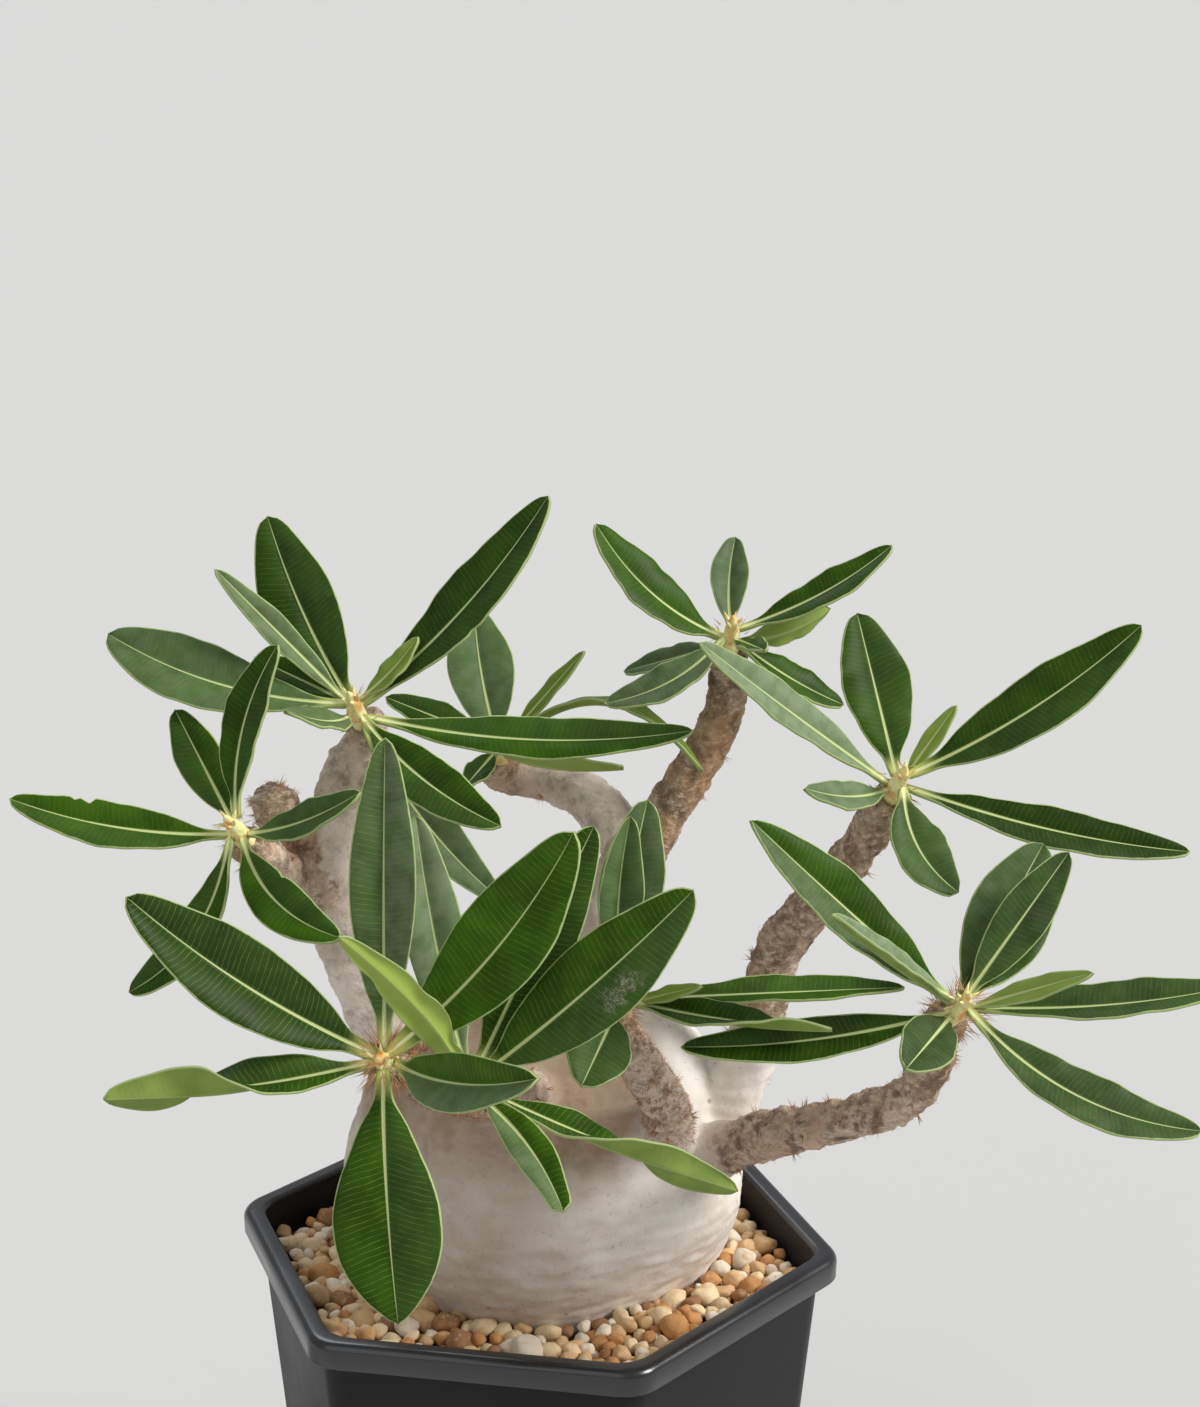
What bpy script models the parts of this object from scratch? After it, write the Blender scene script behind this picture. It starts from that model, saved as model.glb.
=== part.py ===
"""Potted pachypodium: a hexagonal pot of soil and gravel, a swollen caudex and nine leafy heads.

Metres, +Z up. The origin is the middle of the pot's flat underside. X runs to the right and Y
to the back. Sizes in the tables below are in millimetres, angles in degrees.
"""
import math
import random
from collections import namedtuple

import bmesh
import bpy
import numpy as np
from mathutils import Matrix, Vector

MM = 0.001
GAP = 0.3
FLAT_GAP = GAP / math.cos(math.radians(30))
SHARP_ANGLE = 40
WELD = 0.002
FLAT_ANGLE = 0.4

# Pot: a tapered hexagon with rounded corners and a turned-down lip. Radii are to the corners.
POT_TURN = -10.65
POT_HEIGHT = 110.0
POT_FOOT_RADIUS = 51.5
POT_NECK_RADIUS = 62.0
POT_LIP_RADIUS = 66.0
POT_LIP_DROP = 5.8
POT_WALL = 1.9
POT_FLOOR = 2.6
POT_CORNER = 8.0
POT_FOOT_BEVEL = 1.0
LIP_FOOT_BEVELS = (0.4, 0.6)
LIP_TOP_BEVEL = 1.2
MOUTH_BEVELS = (1.0, 0.8)
CORNER_POINTS = 4
DRAIN_HOLES = 6
DRAIN_SIDES = 12
DRAIN_RADIUS = 4.0
DRAIN_CIRCLE = 30.0

# Soil and gravel fill.
SOIL_TOP = 98.0
BED_TOP = 101.6
PEBBLE_COUNT = 76
PEBBLE_RADII = (2.5, 3.9)
PEBBLE_REACH = 1.1
PEBBLE_STRETCHES = ((0.9, 1.1), (0.82, 1.05), (0.66, 0.9))
PEBBLE_ROUGHNESS = (0.93, 1.05)
PEBBLE_TILT = 0.35
PEBBLE_LIFT = (0.1, 0.3)
PEBBLE_TOP = 106.0
PEBBLE_SPACING = 0.86
PEBBLE_TRIES = 60000
PEBBLE_SEED = 11

# Caudex: height and radius of each ring of the bulb, from the buried tip to the crown.
BULB_CENTRE = (1.5, 5.0)
BULB_DEPTH_SHARE = 0.9
BULB_SIDES = 26
BULB_LUMPS = (0.022, 0.014)
BULB_CLEARANCE = 0.4
CUTTER_TOP = 130.0
CUTTER_FOOT = 1.5
BULB_PROFILE = (
    (30, 6), (50, 17), (74, 28), (92, 33.5), (101, 37), (108, 40.5), (115, 42.8), (122, 43.4),
    (129, 42.4), (135, 40), (139.5, 38.6), (145, 37.6), (150.5, 34.4), (156, 28.5), (160.5, 20),
    (163, 9),
)

# Branches: points along each one, its radius at each point, and the rosette at its end. A branch
# with a rosette goes on to the foot of the rosette's heart, which the last two radii are for.
BRANCHES = {
    "left": (
        ((-20, -1, 134), (-29, -3.5, 153), (-35.5, -5, 168), (-40, -7, 181), (-42.5, -8.5, 194),
         (-41.5, -9, 206), (-37.5, -9, 217)),
        (10.5, 7.2, 6.2, 5.8, 5.6, 5.4, 5.0, 4.4, 4.0), "upper_left"),
    "left_side": (
        ((-42, -9, 191), (-50, -19, 199)),
        (4.8, 4.2, 4.0, 3.9), "left"),
    "stub": (
        ((-43, -9, 198), (-49, -13, 207), (-52, -14.5, 211.5), (-54, -15.5, 215)),
        (4.6, 4.0, 4.9, 3.2), None),
    "right": (
        ((30, 1, 124), (44.5, 1, 146), (48.5, 0, 162), (52.5, -2, 177), (65, -9.5, 197)),
        (10, 6.4, 5.3, 4.7, 4.4, 4.1, 4.0), "right"),
    "front_right": (
        ((24, -7, 126), (44, -16.5, 138), (56, -27, 146), (68, -36, 153.5), (77, -44, 162)),
        (8.5, 5.4, 4.5, 4.4, 4.3, 4.1, 3.9), "front_right"),
    "trunk": (
        ((5, 8, 138), (13, 15, 166), (17, 20, 179), (22, 24, 189)),
        (13, 7.6, 6.8, 6.2), None),
    "upper_right": (
        ((21, 23, 186), (27, 25, 195), (36, 26, 209.5), (41, 25, 221)),
        (5.8, 5.2, 4.6, 4.4, 4.1, 4.0), "upper_right"),
    "upper_middle": (
        ((22, 25, 185), (18.3, 28, 191.5), (11, 35, 197.5), (1, 41, 200)),
        (5.8, 5.9, 5.4, 4.7, 4.2, 3.9), "upper_middle"),
    "front": (
        ((-1, -18, 146), (-3, -32, 156), (-7, -48, 164)),
        (8.5, 6.0, 5.0), None),
    "front_left": (
        ((-6.5, -46, 163), (-15, -62, 171)),
        (4.8, 4.6, 4.2, 3.9), "front_left"),
    "front_middle": (
        ((-6.5, -46, 163), (-9, -60, 169)),
        (4.8, 4.6, 4.2, 3.9), "front_middle"),
    "front_centre": (
        ((27, -10, 134), (28, -26, 149), (23, -38.5, 164)),
        (7.5, 4.6, 4.2, 4.0, 3.8), "front_centre"),
}
BRANCH_SIDES = 8
BRANCH_STEPS = 2
BRANCH_KNOBS = (0.05, 2.2)
BRANCH_RIDGES = 0.04

# Spines: how many stand on each branch.
BRANCH_SPINES = {
    "front": 6, "front_left": 20, "front_middle": 12, "front_centre": 28, "front_right": 30,
    "left_side": 10, "stub": 12, "left": 10, "right": 8, "upper_right": 4, "upper_middle": 4,
}
SPINE_LENGTHS = (2.0, 3.4)
SPINE_RADIUS = 0.65
SPINE_ROOT = 1.0
SPINE_ROOM = 2.4
SPINE_TRIES = 6
SPINE_SLANTS = (-0.1, 0.5)
SPINE_SEED = 5
HEART_SPINES = 6
HEART_SPINE_LENGTHS = (3.0, 5.0)
HEART_SPINE_CLIMBS = (0.35, 1.1)
HEART_SPINE_HEIGHTS = (-0.5, 2.5)
HEART_SPINE_RADIUS = 3.4
HEART_SPINE_SHIFT = 0.3
HEART_ROOM = 6.5

# Rosettes: the heart's place, the way it faces, and its leaves. A leaf's around is its angle
# about the rosette's axis, lift its angle above the rosette's plane. Arch bows the midrib
# towards the upper face and sway towards the left edge. Roll turns the blade about its midrib,
# twist adds more roll towards the tip, fold lifts both halves, wave is the edge's ripple and a
# greater belly moves the widest place towards the tip.
Rosette = namedtuple("Rosette", "heart heading climb leaves")
Leaf = namedtuple("Leaf", "around lift length width arch sway roll twist fold wave belly")
Leaf.__new__.__defaults__ = (0, 0, 0, 0, 12, 0.6, 1.23)

ROSETTES = {
    "front_left": Rosette((-25, -85, 186), -100, 25, (
        Leaf(150, 27, 56, 16, 1, 2, 18, 0, 22),
        Leaf(-167, 24, 51, 12, 1, 1.5, 30, 120, 25),
        Leaf(-82, 0, 47, 20, 3, 0, 0, 0, 8, 0.6, 1.5),
        Leaf(-3, 40, 44, 12, 1, -2.5, 0, 0, 30),
        Leaf(90, 20, 60, 13, 1, 0, 10, 0, 25),
        Leaf(51, 14.5, 56, 17, -2, -2.5),
    )),
    "front_middle": Rosette((-10, -80, 179), -80, 25, (
        Leaf(134, 47, 53, 8.5, 5, -1.5, 160, 0, 2),
        Leaf(-60, 27, 31, 7.5, 0, 2),
        Leaf(-26, 13, 53, 12, 0, -1, -45, -115, 20),
        Leaf(38, 24, 56, 16, 1, -1),
        Leaf(61, 10, 53, 13),
        Leaf(99, 12, 51, 11, 0, 1),
    )),
    "front_centre": Rosette((18, -50, 183), -75, 40, (
        Leaf(76, 20, 40, 13, 0, 1),
        Leaf(84, 33, 37, 10, 0, 1.5, 0, 0, 30),
        Leaf(-22, 23.5, 42, 9, 2, -2, -20, -60, 20),
        Leaf(-14, 51, 20, 4.5),
        Leaf(-124, 8, 20, 13),
        Leaf(-4, 4, 57, 8, 0, 0, -30, 0, 20),
    )),
    "front_right": Rosette((83, -55, 184), -70, 45, (
        Leaf(174, -15, 54, 9, 0, 2),
        Leaf(139, 22, 57, 13, 0, 0.5),
        Leaf(154, 32, 38.2, 6.5, 0, 1, 30, 0, 35, 0.2),
        Leaf(49, 15, 38, 15, 0, 0.2),
        Leaf(42, 30, 37, 10),
        Leaf(36, 4, 32, 10),
        Leaf(-13, 46, 28, 6),
        Leaf(-11, 18, 54, 10, 0, -2, -20, 0, 20),
        Leaf(-43, 9, 51, 11, 0, -6),
        Leaf(-144, 19, 24, 11),
    )),
    "left": Rosette((-57, -35, 213), -115, 45, (
        Leaf(-168, 24, 45, 10, 0, 2.5),
        Leaf(133, 18, 29, 9.5),
        Leaf(80, 32, 38, 9.5, 0, 3.5),
        Leaf(13, 21, 33, 8, 0, -2),
        Leaf(-31, 1, 36, 10, 0, -4),
        Leaf(-119, -19, 39, 10, 0, 6),
    )),
    "upper_left": Rosette((-35, -15, 232), -105, 50, (
        Leaf(125, 37, 43, 15, 0, 1.5),
        Leaf(153, 42, 40, 6),
        Leaf(178, 21, 52, 15.5, 0, 4, 0, 0, 12, 0.6, 1.6),
        Leaf(-128, 47, 20, 8, 0, 3),
        Leaf(50, 20, 58, 13, 0, -3),
        Leaf(45, 29, 20, 6, 0, -1),
        Leaf(7, -9, 68, 10, 0, -4),
        Leaf(-31, -9, 40, 11, 0, -2.5),
        Leaf(160, 9, 25, 7),
        Leaf(-40, -32, 48, 10, 0, -2.5),
    )),
    "right": Rosette((74, -20, 218), -75, 50, (
        Leaf(149, 23, 51, 9, 0, 0.5, 0, 0, 15),
        Leaf(96, 22, 36, 15),
        Leaf(17, 30, 58, 13, 0, -2.5),
        Leaf(38, 47, 20, 6),
        Leaf(-23, 3, 60, 10, 0, -2.5),
        Leaf(-71, -12, 25, 12, 0, -3.5),
        Leaf(-175, 12, 22, 7, 0, 2),
    )),
    "upper_right": Rosette((42, 20, 238), -85, 60, (
        Leaf(153, 32, 38, 13, 0, 4.5),
        Leaf(83, 21, 24, 9, 0, 1, 0, 0, 25),
        Leaf(18, 23, 39.5, 8.5, 0, -2.5),
        Leaf(22, -1, 24, 8, 0, -2, -100),
        Leaf(-68, 32, 16, 6),
        Leaf(-156, -12, 31, 9, 0, 3.5),
        Leaf(159, -38, 29, 8),
        Leaf(-13, -31, 30, 9, 0, -1.5),
    )),
    "upper_middle": Rosette((-8, 35, 209), -90, 55, (
        Leaf(101, 18, 34, 15, 0, 1),
        Leaf(34, 39, 29, 4),
        Leaf(-21, 16, 49, 8, 9, 8, -40),
        Leaf(-33, 26, 36, 9, 0, -2, -50, 0, 25),
        Leaf(-116, 17, 17, 6),
        Leaf(153, 3, 29, 8),
    )),
}
HEART_FOOT = 6.0
HEART_NECK = 9.5
HEART_PROFILE = ((-5.7, 3.9), (-3, 4.4), (0.5, 4.2), (3.5, 3.0), (5.6, 1.6), (6.6, 0.5))
HEART_SIDES = 8
LEAF_START = 1.6
TWIST_START = 0.3
TWIST_SPAN = 0.6
ROW_STEP = 1.6
LEAF_THICKNESS = 0.8
MIDRIB_THICKNESS = 1.5
MIDRIB_THINNING = 0.45
STALK_SHARE = 0.16
TIP_SHARE = 0.03
BLADE_FULLNESS = 0.85
FOLD_SPAN = 0.25
LEFT_WAVES = 3.1
RIGHT_WAVES = 2.7
LONG_LEAF = 38
LONG_LEAF_SEGMENTS = 8
SHORT_LEAF_SEGMENTS = 6

MATERIALS = {
    "pot_plastic": ((0.016, 0.017, 0.020), 0.46),
    "soil": ((0.050, 0.032, 0.020), 0.95),
    "gravel_stone": ((0.560, 0.400, 0.240), 0.80),
    "bark": ((0.420, 0.360, 0.300), 0.75),
    "leaf_green": ((0.050, 0.130, 0.030), 0.42),
}


def clear_scene():
    """Remove every object that the new file comes with."""
    for item in list(bpy.data.objects):
        bpy.data.objects.remove(item, do_unlink=True)


def make_material(name):
    """One Principled BSDF material with a plain colour and roughness."""
    colour, roughness = MATERIALS[name]
    material = bpy.data.materials.new(name)
    material.use_nodes = True
    shader = material.node_tree.nodes["Principled BSDF"]
    shader.inputs["Base Color"].default_value = (*colour, 1.0)
    shader.inputs["Roughness"].default_value = roughness
    shader.inputs["Metallic"].default_value = 0.0
    material.diffuse_color = (*colour, 1.0)
    return material


def unit(vector):
    """The vector at length one."""
    return vector / np.linalg.norm(vector)


def smooth_step(x):
    """A soft ramp from 0 at x = 0 to 1 at x = 1."""
    x = min(max(x, 0.0), 1.0)
    return x * x * (3 - 2 * x)


def link(mesh, name):
    """A new object in the scene for a mesh."""
    thing = bpy.data.objects.new(name, mesh)
    bpy.context.scene.collection.objects.link(thing)
    return thing


def ring_mesh(name, rings):
    """A closed mesh of rings of points in millimetres, with flat caps.

    Every band's quads are split along the diagonal that makes the two faces of a leaf alike.
    """
    rings = np.asarray(rings, float) * MM
    count, sides, _ = rings.shape
    shape = bmesh.new()
    verts = [[shape.verts.new(point) for point in ring] for ring in rings]
    for i in range(count - 1):
        for j in range(sides):
            k = (j + 1) % sides
            a = verts[i][j]
            b = verts[i][k]
            c = verts[i + 1][k]
            d = verts[i + 1][j]
            if sides == 6 and j in (3, 4):
                shape.faces.new((a, b, c))
                shape.faces.new((a, c, d))
            else:
                shape.faces.new((a, b, d))
                shape.faces.new((b, c, d))
    shape.faces.new(reversed(verts[0]))
    shape.faces.new(verts[-1])
    mesh = bpy.data.meshes.new(name)
    bmesh.ops.recalc_face_normals(shape, faces=shape.faces)
    shape.to_mesh(mesh)
    shape.free()
    return mesh


def ring_object(name, rings):
    """An object of ring_mesh."""
    return link(ring_mesh(name, rings), name)


def apply_modifiers(thing):
    """Keep the mesh that the object's modifiers give, and drop the modifiers."""
    depsgraph = bpy.context.evaluated_depsgraph_get()
    mesh = bpy.data.meshes.new_from_object(thing.evaluated_get(depsgraph))
    thing.modifiers.clear()
    thing.data = mesh


def cut(thing, cutter):
    """Take the cutter away from the thing and remove the cutter."""
    cutter.hide_render = True
    cutter.display_type = "WIRE"
    modifier = thing.modifiers.new("cut", "BOOLEAN")
    modifier.operation = "DIFFERENCE"
    modifier.solver = "EXACT"
    modifier.object = cutter
    apply_modifiers(thing)
    bpy.data.objects.remove(cutter, do_unlink=True)


def fuse(thing, pieces):
    """Join the pieces to the thing in one Boolean union, and remove the pieces."""
    group = bpy.data.collections.new("to_fuse")
    bpy.context.scene.collection.children.link(group)
    for piece in pieces:
        bpy.context.scene.collection.objects.unlink(piece)
        group.objects.link(piece)
    modifier = thing.modifiers.new("fuse", "BOOLEAN")
    modifier.operation = "UNION"
    modifier.solver = "EXACT"
    modifier.operand_type = "COLLECTION"
    modifier.collection = group
    apply_modifiers(thing)
    for piece in pieces:
        bpy.data.objects.remove(piece, do_unlink=True)
    bpy.data.collections.remove(group)


def islands(shape):
    """The connected groups of vertices of a bmesh."""
    left = set(shape.verts)
    groups = []
    while left:
        start = left.pop()
        group = {start}
        front = [start]
        while front:
            vert = front.pop()
            for edge in vert.link_edges:
                other = edge.other_vert(vert)
                if other in left:
                    left.discard(other)
                    group.add(other)
                    front.append(other)
        groups.append(group)
    return groups


def tidy_solid(thing):
    """Keep the largest body, which fills sealed hollows and drops scraps, and split its faces."""
    shape = bmesh.new()
    shape.from_mesh(thing.data)
    groups = sorted(islands(shape), key=len)
    scraps = [vert for group in groups[:-1] for vert in group]
    bmesh.ops.delete(shape, geom=scraps, context="VERTS")
    bmesh.ops.remove_doubles(shape, verts=shape.verts, dist=WELD * MM)
    bmesh.ops.dissolve_degenerate(shape, edges=shape.edges, dist=WELD * MM)
    bmesh.ops.dissolve_limit(shape, angle_limit=math.radians(FLAT_ANGLE), verts=shape.verts,
                             edges=shape.edges)
    bmesh.ops.triangulate(shape, faces=shape.faces)
    shape.to_mesh(thing.data)
    shape.free()


def finish(thing, material):
    """Give the thing its one material and its shading."""
    thing.data.materials.clear()
    thing.data.materials.append(material)
    thing.data.shade_smooth()
    thing.data.set_sharp_from_angle(angle=math.radians(SHARP_ANGLE))


def hexagon(radius, height, corner=POT_CORNER):
    """A ring of points: a hexagon with rounded corners, its corners at radius, at a height."""
    to_arc = radius - corner
    points = []
    for side in range(6):
        middle = math.radians(POT_TURN + 60 * side)
        for step in range(CORNER_POINTS):
            angle = middle + math.radians(-30 + 60 * step / (CORNER_POINTS - 1))
            points.append((to_arc * math.cos(middle) + corner * math.cos(angle),
                           to_arc * math.sin(middle) + corner * math.sin(angle), height))
    return points


def pot_outer_radius(height):
    """The pot body's corner radius outside, at a height."""
    neck = POT_HEIGHT - POT_LIP_DROP
    return POT_FOOT_RADIUS + (POT_NECK_RADIUS - POT_FOOT_RADIUS) * height / neck


def pot_inner_radius(height):
    """The pot body's corner radius inside, at a height."""
    return pot_outer_radius(height) - POT_WALL


def make_pot(material):
    """The hexagonal pot, with its turned-down lip and drain holes."""
    lip_foot = POT_HEIGHT - POT_LIP_DROP
    lip_inside = POT_LIP_RADIUS - POT_WALL
    groove_top = POT_HEIGHT - POT_WALL
    profile = (
        (POT_FOOT_RADIUS - POT_FOOT_BEVEL, 0.0), (POT_FOOT_RADIUS, POT_FOOT_BEVEL),
        (pot_outer_radius(groove_top), groove_top), (lip_inside, groove_top),
        (lip_inside, lip_foot), (POT_LIP_RADIUS - LIP_FOOT_BEVELS[0], lip_foot),
        (POT_LIP_RADIUS, lip_foot + LIP_FOOT_BEVELS[1]),
        (POT_LIP_RADIUS, POT_HEIGHT - LIP_TOP_BEVEL),
        (POT_LIP_RADIUS - LIP_TOP_BEVEL, POT_HEIGHT),
        (pot_inner_radius(POT_HEIGHT) + MOUTH_BEVELS[0], POT_HEIGHT),
        (pot_inner_radius(POT_HEIGHT), POT_HEIGHT - MOUTH_BEVELS[1]),
        (pot_inner_radius(POT_FLOOR), POT_FLOOR),
    )
    pot = ring_object("pot", [hexagon(radius, height) for radius, height in profile])
    for hole in range(DRAIN_HOLES):
        angle = math.radians(POT_TURN + 60 * hole)
        shape = bmesh.new()
        bmesh.ops.create_cone(shape, cap_ends=True, segments=DRAIN_SIDES,
                              radius1=DRAIN_RADIUS * MM, radius2=DRAIN_RADIUS * MM,
                              depth=4 * POT_FLOOR * MM)
        mesh = bpy.data.meshes.new("drain")
        shape.to_mesh(mesh)
        shape.free()
        drain = link(mesh, "drain")
        drain.location = (DRAIN_CIRCLE * math.cos(angle) * MM, DRAIN_CIRCLE * math.sin(angle) * MM, 0)
        bpy.context.view_layer.update()
        cut(pot, drain)
    tidy_solid(pot)
    finish(pot, material)
    return pot


def bulb_radius(height, angle):
    """The bulb's radius at a height and angle, with its soft lumps."""
    heights = [row[0] for row in BULB_PROFILE]
    radii = [row[1] for row in BULB_PROFILE]
    radius = float(np.interp(height, heights, radii))
    large = BULB_LUMPS[0] * math.sin(3 * angle + 0.6)
    small = BULB_LUMPS[1] * math.sin(5 * angle + 2 + height / 14)
    return radius * (1 + large + small)


def bulb_rings(grow=0.0, highest=math.inf):
    """The bulb's rings of points up to a height, grown outwards by grow."""
    rings = []
    for height, _ in BULB_PROFILE:
        ring = []
        for side in range(BULB_SIDES):
            angle = 2 * math.pi * side / BULB_SIDES
            radius = bulb_radius(height, angle) + grow
            ring.append((BULB_CENTRE[0] + radius * math.cos(angle),
                         BULB_CENTRE[1] + radius * BULB_DEPTH_SHARE * math.sin(angle), height))
        if height <= highest:
            rings.append(ring)
    return rings


def bulb_cutter():
    """The bulb grown by the gap, with a little more at its buried tip."""
    rings = bulb_rings(grow=BULB_CLEARANCE, highest=CUTTER_TOP)
    rings[0] = [(x, y, z - CUTTER_FOOT) for x, y, z in rings[0]]
    return ring_object("bulb_cutter", rings)


def make_soil(material):
    """The soil that fills the pot, with a plain hole for the buried foot of the caudex."""
    low = POT_FLOOR + GAP
    rings = [hexagon(pot_inner_radius(height) - FLAT_GAP, height) for height in (low, SOIL_TOP)]
    soil = ring_object("soil", rings)
    cut(soil, bulb_cutter())
    tidy_solid(soil)
    finish(soil, material)
    return soil


def pebble_places():
    """Places and sizes of the pebbles: random, apart from each other, the wall and the caudex."""
    draw = random.Random(PEBBLE_SEED)
    corner = pot_inner_radius(BED_TOP)
    flat = (corner - POT_CORNER) * math.cos(math.radians(30)) + POT_CORNER
    places = []
    for _ in range(PEBBLE_TRIES):
        if len(places) == PEBBLE_COUNT:
            break
        x = draw.uniform(-corner, corner)
        y = draw.uniform(-corner, corner)
        size = draw.uniform(*PEBBLE_RADII)
        reach = max(x * math.cos(math.radians(POT_TURN + 30 + 60 * side))
                    + y * math.sin(math.radians(POT_TURN + 30 + 60 * side)) for side in range(6))
        room = size * PEBBLE_REACH + 2 * GAP
        if reach + room > flat or math.hypot(x, y) + room > corner:
            continue
        angle = math.atan2((y - BULB_CENTRE[1]) / BULB_DEPTH_SHARE, x - BULB_CENTRE[0])
        away = math.hypot(x - BULB_CENTRE[0], (y - BULB_CENTRE[1]) / BULB_DEPTH_SHARE)
        if away < bulb_radius(PEBBLE_TOP, angle) + room / BULB_DEPTH_SHARE:
            continue
        if all(math.hypot(x - px, y - py) > PEBBLE_SPACING * (size + other)
               for px, py, other in places):
            places.append((x, y, size))
    return places


def make_pebble(x, y, size, draw):
    """One uneven pebble, set in the bed to about its middle."""
    shape = bmesh.new()
    bmesh.ops.create_icosphere(shape, subdivisions=1, radius=1.0)
    stretch = Vector([draw.uniform(*limits) for limits in PEBBLE_STRETCHES])
    for vert in shape.verts:
        vert.co = vert.co * draw.uniform(*PEBBLE_ROUGHNESS)
    turn = Matrix.Rotation(draw.uniform(0, math.tau), 4, "Z")
    tilt = Matrix.Rotation(draw.uniform(-PEBBLE_TILT, PEBBLE_TILT), 4, "X")
    bmesh.ops.transform(shape, matrix=tilt @ turn, verts=shape.verts)
    for vert in shape.verts:
        vert.co = Vector((vert.co.x * stretch.x, vert.co.y * stretch.y, vert.co.z * stretch.z))
        vert.co *= size * MM
    mesh = bpy.data.meshes.new("pebble")
    shape.to_mesh(mesh)
    shape.free()
    pebble = link(mesh, "pebble")
    pebble.location = (x * MM, y * MM, (BED_TOP + draw.uniform(*PEBBLE_LIFT) * size) * MM)
    return pebble


def make_gravel(material):
    """The layer of pebbles, fused to a thin bed that fits between the wall and the caudex."""
    low = SOIL_TOP + GAP
    rings = [hexagon(pot_inner_radius(height) - FLAT_GAP, height) for height in (low, BED_TOP)]
    gravel = ring_object("gravel", rings)
    cut(gravel, bulb_cutter())
    draw = random.Random(PEBBLE_SEED + 1)
    pebbles = [make_pebble(x, y, size, draw) for x, y, size in pebble_places()]
    bpy.context.view_layer.update()
    fuse(gravel, pebbles)
    tidy_solid(gravel)
    finish(gravel, material)
    return gravel


def branch_course(name):
    """Places and radii along a branch, on a smooth curve through its points."""
    points, radii, head = BRANCHES[name]
    if head:
        rosette = ROSETTES[head]
        axis = np.array(rosette_axis(rosette))
        heart = np.array(rosette.heart)
        points = (*points, heart - axis * HEART_NECK, heart - axis * HEART_FOOT)
    points = np.array(points, float)
    count = len(points)
    places = []
    sizes = []
    for i in range(count - 1):
        before = points[max(i - 1, 0)]
        after = points[min(i + 2, count - 1)]
        start = points[i]
        end = points[i + 1]
        steps = BRANCH_STEPS + (1 if i == count - 2 else 0)
        for k in range(steps):
            t = k / BRANCH_STEPS
            places.append(0.5 * (2 * start + (end - before) * t
                                 + (2 * before - 5 * start + 4 * end - after) * t ** 2
                                 + (3 * start - before - 3 * end + after) * t ** 3))
            sizes.append(radii[i] + (radii[i + 1] - radii[i]) * t)
    return np.array(places), np.array(sizes)


def branch_rings(name):
    """Rings of points round a branch, a little knobbly."""
    places, sizes = branch_course(name)
    tangents = np.gradient(places, axis=0)
    head = BRANCHES[name][2]
    last = np.array(rosette_axis(ROSETTES[head])) if head else tangents[-1]
    side = np.cross(unit(tangents[0]), (0.3, 1.0, 0.2))
    rings = []
    for i, centre in enumerate(places):
        tangent = unit(tangents[i] if i < len(places) - 1 else last)
        side = unit(side - tangent * (side @ tangent))
        other = np.cross(tangent, side)
        knob = 1.0
        if i not in (0, len(places) - 1):
            knob += BRANCH_KNOBS[0] * math.sin(BRANCH_KNOBS[1] * i)
        ring = []
        for j in range(BRANCH_SIDES):
            angle = 2 * math.pi * j / BRANCH_SIDES
            radius = sizes[i] * knob * (1 + BRANCH_RIDGES * math.sin(3 * angle + i))
            ring.append(centre + radius * (math.cos(angle) * side + math.sin(angle) * other))
        rings.append(ring)
    return rings


def make_spine(root, direction, length):
    """A three-sided spine from its root point, sunk into what it grows from."""
    shape = bmesh.new()
    bmesh.ops.create_cone(shape, cap_ends=True, segments=3, radius1=SPINE_RADIUS * MM,
                          radius2=0.0, depth=(length + SPINE_ROOT) * MM)
    bmesh.ops.remove_doubles(shape, verts=shape.verts, dist=0.01 * MM)
    mesh = bpy.data.meshes.new("spine")
    shape.to_mesh(mesh)
    shape.free()
    spine = link(mesh, "spine")
    way = Vector(direction).normalized()
    middle = Vector(root) + way * (length - SPINE_ROOT) / 2
    turn = way.to_track_quat("Z", "Y").to_matrix().to_4x4()
    spine.matrix_world = Matrix.Translation(middle * MM) @ turn
    return spine


def leaf_middles():
    """Points along every leaf in the pot's frame, with the room that the blade takes there."""
    rows = []
    for rosette in ROSETTES.values():
        frame = np.array(rosette_matrix(rosette))
        rows.append((np.array(rosette.heart), HEART_ROOM))
        for index, leaf in enumerate(rosette.leaves):
            for ring in leaf_rings(leaf, index):
                middle = (np.array(ring[1]) + np.array(ring[4])) / 2
                room = np.linalg.norm(np.array(ring[0]) - np.array(ring[2])) / 2
                rows.append((frame[:3, :3] @ middle + frame[:3, 3] / MM, room))
    return rows


def branch_spines():
    """Spines on the branches, at random places that keep clear of every leaf."""
    draw = random.Random(SPINE_SEED)
    leaves = leaf_middles()
    spines = []
    for name, count in BRANCH_SPINES.items():
        rings = branch_rings(name)
        places, _ = branch_course(name)
        made = 0
        for _ in range(count * SPINE_TRIES):
            if made == count:
                break
            i = draw.randrange(1, len(rings) - 2)
            j = draw.randrange(BRANCH_SIDES)
            share = draw.uniform(0, 1)
            shift = draw.uniform(0, 1)
            beside = (j + 1) % BRANCH_SIDES
            near_edge = rings[i][j] * (1 - share) + rings[i][beside] * share
            far_edge = rings[i + 1][j] * (1 - share) + rings[i + 1][beside] * share
            root = near_edge * (1 - shift) + far_edge * shift
            centre = places[i] * (1 - shift) + places[i + 1] * shift
            out = unit(root - centre)
            along = unit(places[i + 1] - places[i])
            way = unit(out + along * draw.uniform(*SPINE_SLANTS))
            length = draw.uniform(*SPINE_LENGTHS)
            reach = [root + way * length * share for share in (0.0, 0.5, 1.0)]
            if any(np.linalg.norm(point - place) < room + SPINE_ROOM
                   for point in reach for place, room in leaves):
                continue
            spines.append(make_spine(root, way, length))
            made += 1
    return spines


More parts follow.
